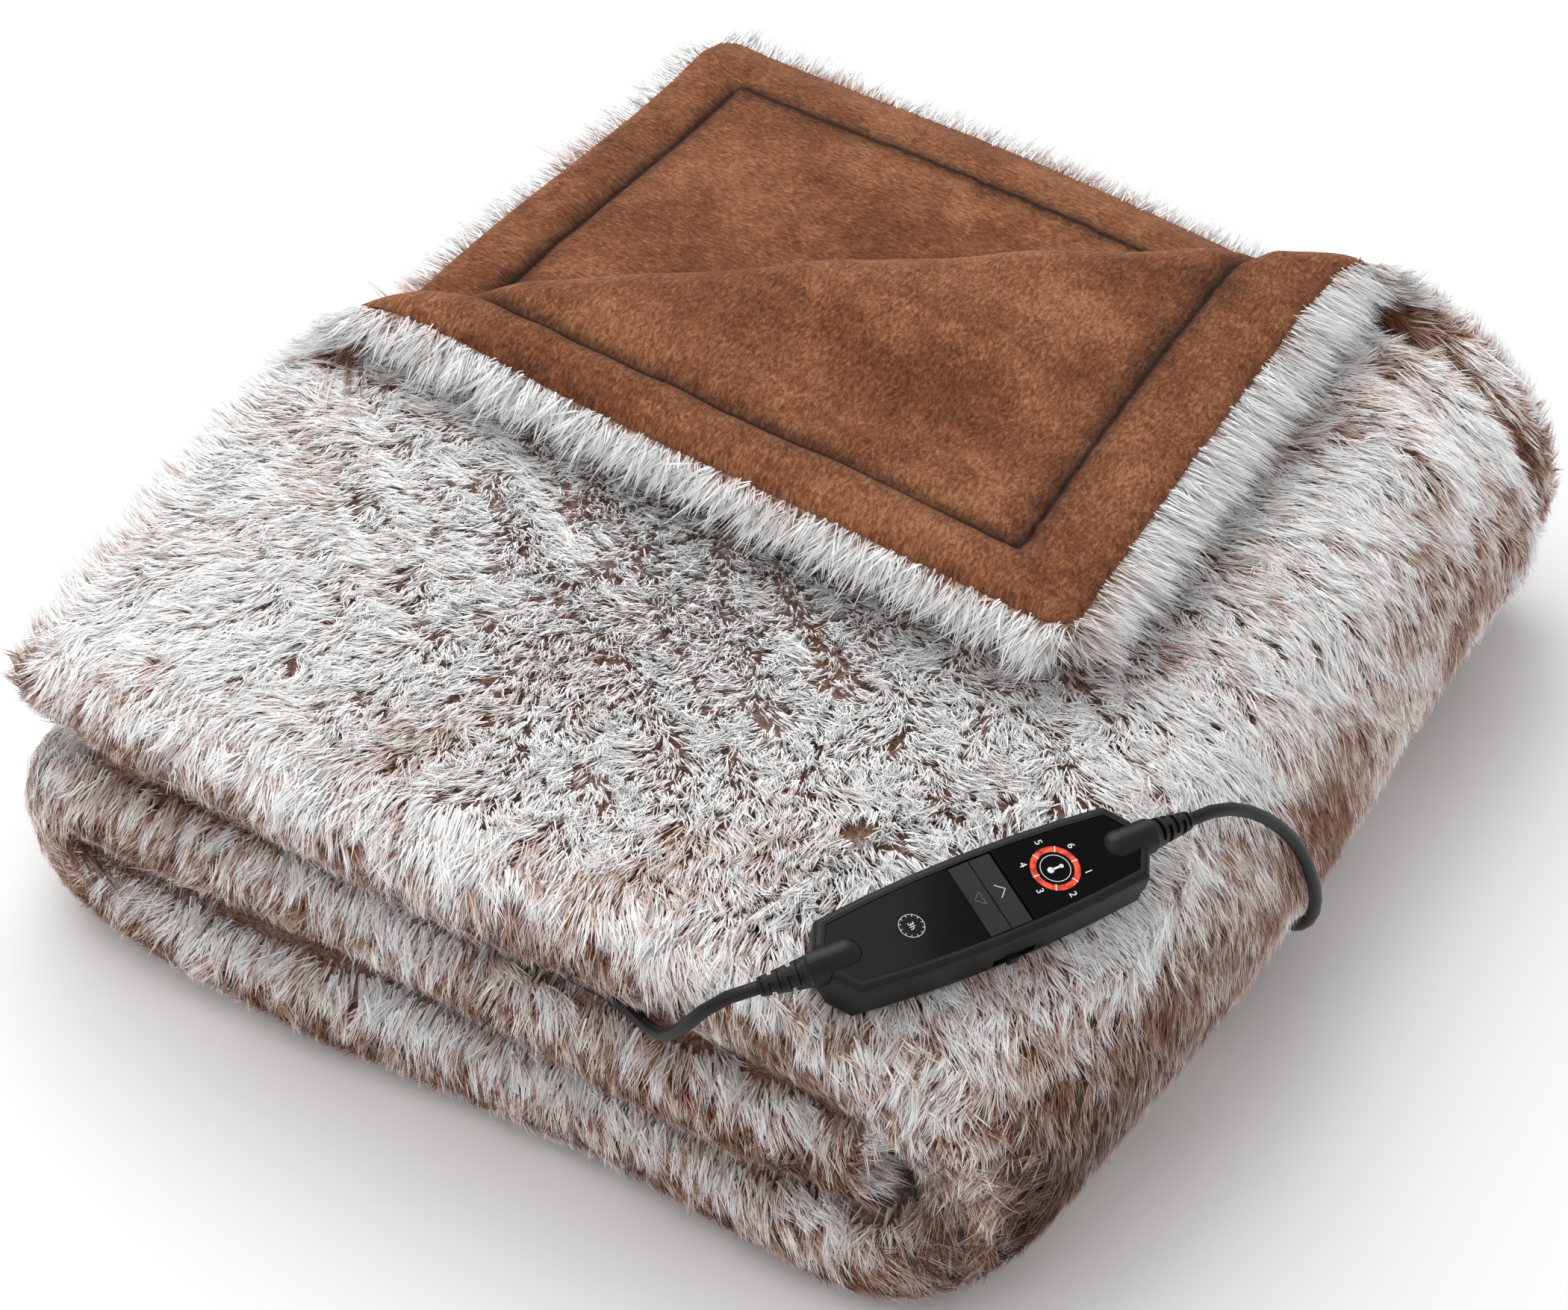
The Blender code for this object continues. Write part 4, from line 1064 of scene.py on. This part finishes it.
def ring_and_marks(white, lamp, dim):
    """The lamp ring with its six numbers and thermometer, the clock dial, and the triangles on the keys."""
    printed("lamp_ring", [disc(RING_R, (RING_X, 0), RING_HOLE, 96)], PANEL_TOP, lamp, "blanket")
    marks = [disc(RING_CIRCLE, (RING_X, 0), RING_CIRCLE - 0.0003)]
    middle = (RING_R + RING_HOLE) / 2
    for i in range(6):
        marks.append(bar(RING_R - RING_HOLE + 0.0004, 0.0005, around(middle, 60 * i, RING_X), -60 * i))
        marks.append(letters(str(i + 1), NUMBER_SIZE, around(RING_R + 0.0032, 60 * i + 30, RING_X)))
    marks.append(disc(0.0015, (RING_X - 0.0024, 0), sides=24))
    marks.append(bar(0.0058, 0.0010, (RING_X + 0.0006, 0), 0))
    marks.append(disc(0.0010, (RING_X + 0.0031, 0), 0.0006, 24))
    printed("ring_marks", marks, PANEL_TOP + 2 * PRINT, white, "blanket")
    dial = [disc(DIAL_R, (DIAL_X, 0), DIAL_R - 0.0002), letters("3h", 0.0040, (DIAL_X, 0))]
    for i in range(12):
        dial.append(bar(0.0010, 0.00025, around(DIAL_R - 0.0007, 30 * i, DIAL_X), -30 * i))
    printed("clock_dial", dial, PANEL_TOP, white, "blanket")
    for name, body, x, way, finish in (
        ("key_mark_down", "down_key", KEY_DOWN_X, -1, dim),
        ("key_mark_up", "up_key", KEY_UP_X, 1, white),
    ):
        tip, foot, half = x + way * 0.0022, x - way * 0.0016, 0.0034
        rows = [((tip, 0), (foot, half)), ((tip, 0), (foot, -half))]
        if way < 0:
            rows.append(((foot, half), (foot, -half)))
        bars = []
        for (ax, ay), (bx, by) in rows:
            turn = math.degrees(math.atan2(by - ay, bx - ax))
            bars.append(bar(math.hypot(bx - ax, by - ay), 0.0003, ((ax + bx) / 2, (ay + by) / 2), turn))
        printed(name, bars, KEY_TOP, finish, body, "satin_grey")


def boot(name, end, turn, down, finish):
    """A rubber sleeve over the cover's dome and the strain relief that a lead comes out of, with its slots."""
    root = handset_frame() @ Matrix.Translation((end * DOME_END, 0, DOME_Z))
    inner = root @ Matrix.Rotation(0 if end > 0 else math.pi, 4, "Z")
    outer = relief_frame(end, turn, down)
    radius = DOME_R + BOOT_SKIN
    rings = [(inner, radius * (1 - math.cos(a)) - DOME_LENGTH, radius * math.sin(a))
             for a in np.linspace(0, math.pi / 2, 12)]
    rings += [(inner, x, radius) for x in (-0.013, -0.009, -0.0058)]
    rings += [(outer, x, r) for x, r in ((-0.0002, radius), (0.0004, RELIEF_R + 0.0002), (0.0008, RELIEF_R))]
    rings += [(outer, x, RELIEF_R + (RELIEF_TIP_R - RELIEF_R) * x / RELIEF_LENGTH)
              for x in np.arange(0.0012, RELIEF_LENGTH - 0.0004, 0.00032)]
    rings += [(outer, RELIEF_LENGTH, RELIEF_TIP_R - 0.0002), (outer, RELIEF_LENGTH, 0.0)]
    deselect()
    bpy.ops.mesh.primitive_grid_add(x_subdivisions=len(rings) - 1, y_subdivisions=BOOT_SIDES, size=2.0)
    sleeve = bpy.context.object
    sleeve.name = sleeve.data.name = name
    places = vertex_places(sleeve)
    numbers = np.rint((places[:, 0] + 1) / 2 * (len(rings) - 1)).astype(int)
    for i, (number, turned) in enumerate(zip(numbers, (places[:, 1] + 1) * math.pi)):
        matrix, x, r = rings[number]
        row = (x - SLOTS_FROM) / SLOT_PITCH
        in_width = matrix is outer and 0 < row < SLOT_ROWS and (row % 1) * SLOT_PITCH < SLOT_WIDE
        sector = math.degrees(turned + 0.10) + 90 * (int(row) % 2)
        if in_width and abs((sector % 180) - 90) < SLOT_SPAN:
            r -= SLOT_DEEP * r / RELIEF_R
        places[i] = matrix @ Vector((x, r * math.cos(turned), r * math.sin(turned)))
    sleeve.data.vertices.foreach_set("co", places.ravel())
    bpy.ops.object.mode_set(mode="EDIT")
    bpy.ops.mesh.select_all(action="SELECT")
    bpy.ops.mesh.remove_doubles(threshold=0.00001)
    bpy.ops.mesh.normals_make_consistent(inside=False)
    bpy.ops.object.mode_set(mode="OBJECT")
    bpy.ops.object.shade_smooth_by_angle(angle=math.radians(35))
    sleeve.data.materials.append(finish)
    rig.ride(sleeve, "blanket")
    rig.replaces(sleeve, name.replace("boot", "relief"))
    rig.slot(sleeve, "black_rubber")


def plain(name, code, roughness):
    """One even tone: a printed ink or a painted floor."""
    tree, surface = new_material(name)
    return surface(node(tree, "BsdfPrincipled", {"Base Color": colour(code), "Roughness": roughness}))


def moulded(name, codes, roughness, grain, depth, specular):
    """A moulded plastic or rubber: two near tones in soft clouds, and a spark-eroded grain in the gloss."""
    tree, surface = new_material(name)
    place = node(tree, "TexCoord").outputs["Object"]
    clouds = node(tree, "TexNoise", {"Vector": place, "Scale": 1 / (16.667 * MM), "Detail": 3.0})
    ramp = node(tree, "ValToRGB", {0: clouds}, ((0.3, codes[0]), (0.7, codes[1])))
    texture = node(tree, "TexNoise", {"Vector": place, "Scale": 1 / grain, "Detail": 2.0})
    matt = node(tree, "MapRange", {0: texture, 1: 0.3, 2: 0.7, 3: 0.9 * roughness, 4: 1.15 * roughness})
    bump = node(tree, "Bump", {"Height": texture, "Strength": 0.35, "Distance": depth})
    return surface(node(tree, "BsdfPrincipled", {
        "Base Color": ramp, "Roughness": matt, "Specular IOR Level": specular, "Normal": bump}))


def lamp_finish():
    """A translucent diffuser lit from behind: orange red, brighter in spots over the lamps."""
    tree, surface = new_material("lit_diffuser")
    place = node(tree, "TexCoord").outputs["Object"]
    spots = node(tree, "TexNoise", {"Vector": place, "Scale": 1 / (3.125 * MM), "Detail": 1.0})
    ramp = node(tree, "ValToRGB", {0: spots}, ((0.30, "#7c1203"), (0.52, "#d0300c"), (0.75, "#ff6224")))
    return surface(node(tree, "BsdfPrincipled", {
        "Base Color": ramp, "Roughness": 0.3, "Emission Color": ramp, "Emission Strength": 0.5}))


def woven_tie():
    """A narrow woven nylon band, its ribs 2 mm apart."""
    tree, surface = new_material("woven_nylon")
    place = node(tree, "TexCoord").outputs["Object"]
    ribs = node(tree, "TexWave", {"Vector": place, "Scale": WAVE_PERIOD / (1.9635 * MM), "Distortion": 0.4})
    ramp = node(tree, "ValToRGB", {0: ribs}, ((0.0, "#141416"), (1.0, "#2a2a2d")))
    bump = node(tree, "Bump", {"Height": ribs, "Strength": 0.6, "Distance": 0.3 * MM})
    return surface(node(tree, "BsdfPrincipled", {"Base Color": ramp, "Roughness": 0.8, "Normal": bump}))


def plated_finish():
    """Nickel plated brass: bright, its gloss broken by faint marks a millimetre wide."""
    tree, surface = new_material("nickel_plate")
    place = node(tree, "TexCoord").outputs["Object"]
    marks = node(tree, "TexNoise", {"Vector": place, "Scale": 1 / (1.111 * MM), "Detail": 2.0})
    matt = node(tree, "MapRange", {0: marks, 1: 0.3, 2: 0.7, 3: 0.16, 4: 0.28})
    return surface(node(tree, "BsdfPrincipled", {
        "Base Color": colour("#dcd9d2"), "Metallic": 1.0, "Roughness": matt}))


def finish_hard_pieces(rubber):
    shell = moulded("moulded_abs", ("#0d0e10", "#131417"), 0.40, 0.0006, 0.00004, 0.25)
    window = moulded("gloss_acrylic", ("#010101", "#030303"), 0.08, 0.004, 0.000004, 0.10)
    keys = moulded("satin_abs", ("#191a1c", "#1f2023"), 0.34, 0.0008, 0.00002, 0.25)
    for names, finish in (
        (("handset_base", "handset_cover"), shell),
        (("panel_lower", "panel_upper"), window),
        (("key_down", "key_up", "side_switch"), keys),
        (("relief_blanket", "relief_mains", "plug_body"), rubber),
        (("coil_tie",), woven_tie()),
        (("plug_pin_left", "plug_pin_right"), plated_finish()),
    ):
        for name in names:
            frame["nodes"][name].material_slots[0].material = finish


def floor_and_lights():
    deselect()
    bpy.ops.mesh.primitive_plane_add(size=12.0)
    floor = bpy.context.object
    floor.name = "floor"
    floor.data.materials.append(plain("pale_floor", "#f4f4f4", 0.8))
    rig.stage(floor)
    for name, place, size, power in (
        # name, place, size, watts
        ("key", (-1.1, 0.8, 2.3), 2.6, 50.0),
        ("fill", (-0.7, -1.7, 2.1), 2.2, 10.0),
    ):
        lamp = bpy.data.lights.new(name, "AREA")
        lamp.size = size
        lamp.energy = power
        aim = Vector((0, 0, 0.1)) - Vector(place)
        added(name, lamp, place).rotation_euler = aim.to_track_quat("-Z", "Y").to_euler()
    world = bpy.data.worlds.new("studio")
    world.use_nodes = True
    world.node_tree.nodes["Background"].inputs["Color"].default_value = (1, 1, 1, 1)
    world.node_tree.nodes["Background"].inputs["Strength"].default_value = 0.71
    bpy.context.scene.world = world


def camera():
    a, e = math.radians(CAMERA_AZIMUTH), math.radians(CAMERA_ELEVATION)
    back = Vector((math.sin(a) * math.cos(e), -math.cos(a) * math.cos(e), math.sin(e)))
    lens = bpy.data.cameras.new("camera")
    lens.lens, lens.sensor_width = CAMERA_LENS, CAMERA_SENSOR
    thing = added("camera", lens, CAMERA_TARGET + CAMERA_DISTANCE * back)
    thing.rotation_euler = back.to_track_quat("Z", "Y").to_euler()
    bpy.context.scene.camera = thing


def pile_finish():
    """Long acrylic pile: white tips over taupe roots, matt with a soft sheen."""
    tree, surface = new_material("acrylic_pile")
    lock = node(tree, "SeparateXYZ", {0: node(tree, "UVMap", uv_map="lock")})
    place = node(tree, "TexCoord").outputs["Object"]
    patches = node(tree, "TexNoise", {"Vector": place, "Scale": 1 / (77 * MM), "Detail": 4.0})
    # Height along the lock, a share of its own tint, and soft patches over the cloth
    tinted = node(tree, "Math", {0: lock, 1: 0.60, 2: lock.outputs[1]}, operation="MULTIPLY_ADD")
    patchy = node(tree, "Math", {0: patches, 1: 1.6, 2: tinted}, operation="MULTIPLY_ADD")
    level = node(tree, "MapRange", {0: patchy, 1: 1.04, 2: 2.04})
    ramp = node(tree, "ValToRGB", {0: level}, (
        (0.10, "#7a4a34"), (0.33, "#b08570"), (0.56, "#e6d3ca"), (0.80, "#fefefe")))
    return surface(node(tree, "BsdfPrincipled", {
        "Base Color": ramp, "Roughness": 0.75, "Specular IOR Level": 0.25,
        "Sheen Weight": 0.2, "Sheen Roughness": 0.5}))


def undercoat_finish():
    """The dense short hairs between the locks: taupe, mottled, with a rough nap of 2 mm tufts."""
    tree, surface = new_material("undercoat")
    place = node(tree, "TexCoord").outputs["Object"]
    tufts = node(tree, "TexNoise", {
        "Vector": place, "Scale": 1 / (2.381 * MM), "Detail": 4.0, "Roughness": 0.7})
    patches = node(tree, "TexNoise", {"Vector": place, "Scale": 1 / (25 * MM), "Detail": 3.0})
    mixed = node(tree, "Math", {0: patches, 1: 0.6, 2: tufts}, operation="MULTIPLY_ADD")
    level = node(tree, "MapRange", {0: mixed, 1: 0.60, 2: 1.05})
    ramp = node(tree, "ValToRGB", {0: level}, ((0.0, "#8a5a44"), (0.5, "#c29985"), (1.0, "#e8d4ca")))
    bump = node(tree, "Bump", {"Height": tufts, "Strength": 1.0, "Distance": 3 * MM})
    return surface(node(tree, "BsdfPrincipled", {
        "Base Color": ramp, "Roughness": 0.9, "Specular IOR Level": 0.2, "Normal": bump}))


def plush_finish():
    """Short velvety polyester plush: a nap in fine uneven rows 1.6 mm apart, brushed lighter and darker in
    soft patches, and in deep shade where the border is stitched down."""
    tree, surface = new_material("short_plush_nap")
    cut = node(tree, "UVMap", uv_map="cut")
    rows_at = node(tree, "Mapping", {
        "Vector": cut, "Scale": (1 / (4.1667 * MM), 1 / (1.6129 * MM), 1.0)})
    rows = node(tree, "TexNoise", {
        "Vector": rows_at, "Scale": 1.0, "Detail": 2.0, "Roughness": 0.6, "Distortion": 0.6})
    nap = node(tree, "TexNoise", {"Vector": cut, "Scale": 1 / (0.66667 * MM), "Detail": 2.0})
    brushed = node(tree, "TexNoise", {
        "Vector": cut, "Scale": 1 / (14.286 * MM), "Detail": 4.0, "Roughness": 0.6})
    patches = node(tree, "TexNoise", {
        "Vector": cut, "Scale": 1 / (71.43 * MM), "Detail": 2.0, "Distortion": 0.6})
    fine = node(tree, "Math", {0: nap, 1: 0.55, 2: rows}, operation="MULTIPLY_ADD")
    soft = node(tree, "Math", {0: brushed, 1: 0.5, 2: fine}, operation="MULTIPLY_ADD")
    mixed = node(tree, "Math", {0: patches, 1: 0.6, 2: soft}, operation="MULTIPLY_ADD")
    level = node(tree, "MapRange", {0: mixed, 1: 1.02, 2: 1.63})
    ramp = node(tree, "ValToRGB", {0: level}, ((0.0, "#442411"), (0.5, "#76462c"), (1.0, "#a3714f")))
    # Painted shade along the stitched seam: darkest in its trough, at the seam's distance from the hem, and fading out
    # over 15 mm of the nap
    inset = node(tree, "Attribute", attribute_name="from_hem").outputs["Fac"]
    off_seam = node(tree, "Math", {0: inset, 1: SEAM_INSET}, operation="SUBTRACT")
    away = node(tree, "Math", {0: off_seam}, operation="ABSOLUTE")
    reach = node(tree, "MapRange", {0: away, 1: 0.5 * MM, 2: 15 * MM})
    shade = node(tree, "ValToRGB", {0: reach}, (
        (0.0, "#4c4c4c"), (0.12, "#b4b4b4"), (0.45, "#eaeaea"), (1.0, "#ffffff")))
    shaded = node(tree, "HueSaturation", {"Value": shade, "Color": ramp})
    bump = node(tree, "Bump", {"Height": fine, "Strength": 0.6, "Distance": 1.2 * MM})
    return surface(node(tree, "BsdfPrincipled", {
        "Base Color": shaded, "Roughness": 0.85, "Specular IOR Level": 0.15,
        "Sheen Weight": 0.36, "Sheen Roughness": 0.40, "Sheen Tint": colour("#e0a98c"), "Normal": bump}))


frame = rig.load()
cad_box = [list(corner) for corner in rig.bounds()]
deselect()
bpy.context.scene.view_settings.view_transform = "Standard"
camera()
rubber = moulded("pvc_rubber", ("#08090a", "#0e0f11"), 0.38, 0.0009, 0.00003, 0.30)
shown_cord = leads(rubber)
floor_and_lights()
finish_hard_pieces(rubber)
for relief, *turns in RELIEFS:
    boot(relief.replace("relief", "boot"), *turns, rubber)
ring_and_marks(plain("white_print", "#e8e8e8", 0.5), lamp_finish(), plain("dim_print", "#5a5c5f", 0.5))
base = cloths()
piles = fur_pile(pile_finish(), shown_cord)
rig.sheet(base, flat=(CUT_WIDTH, CUT_LENGTH), held="folded", with_pieces=piles)

with open("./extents.json", "w") as sizes:
    json.dump({"cad": cad_box, "visual": [list(corner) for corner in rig.bounds()]}, sizes)
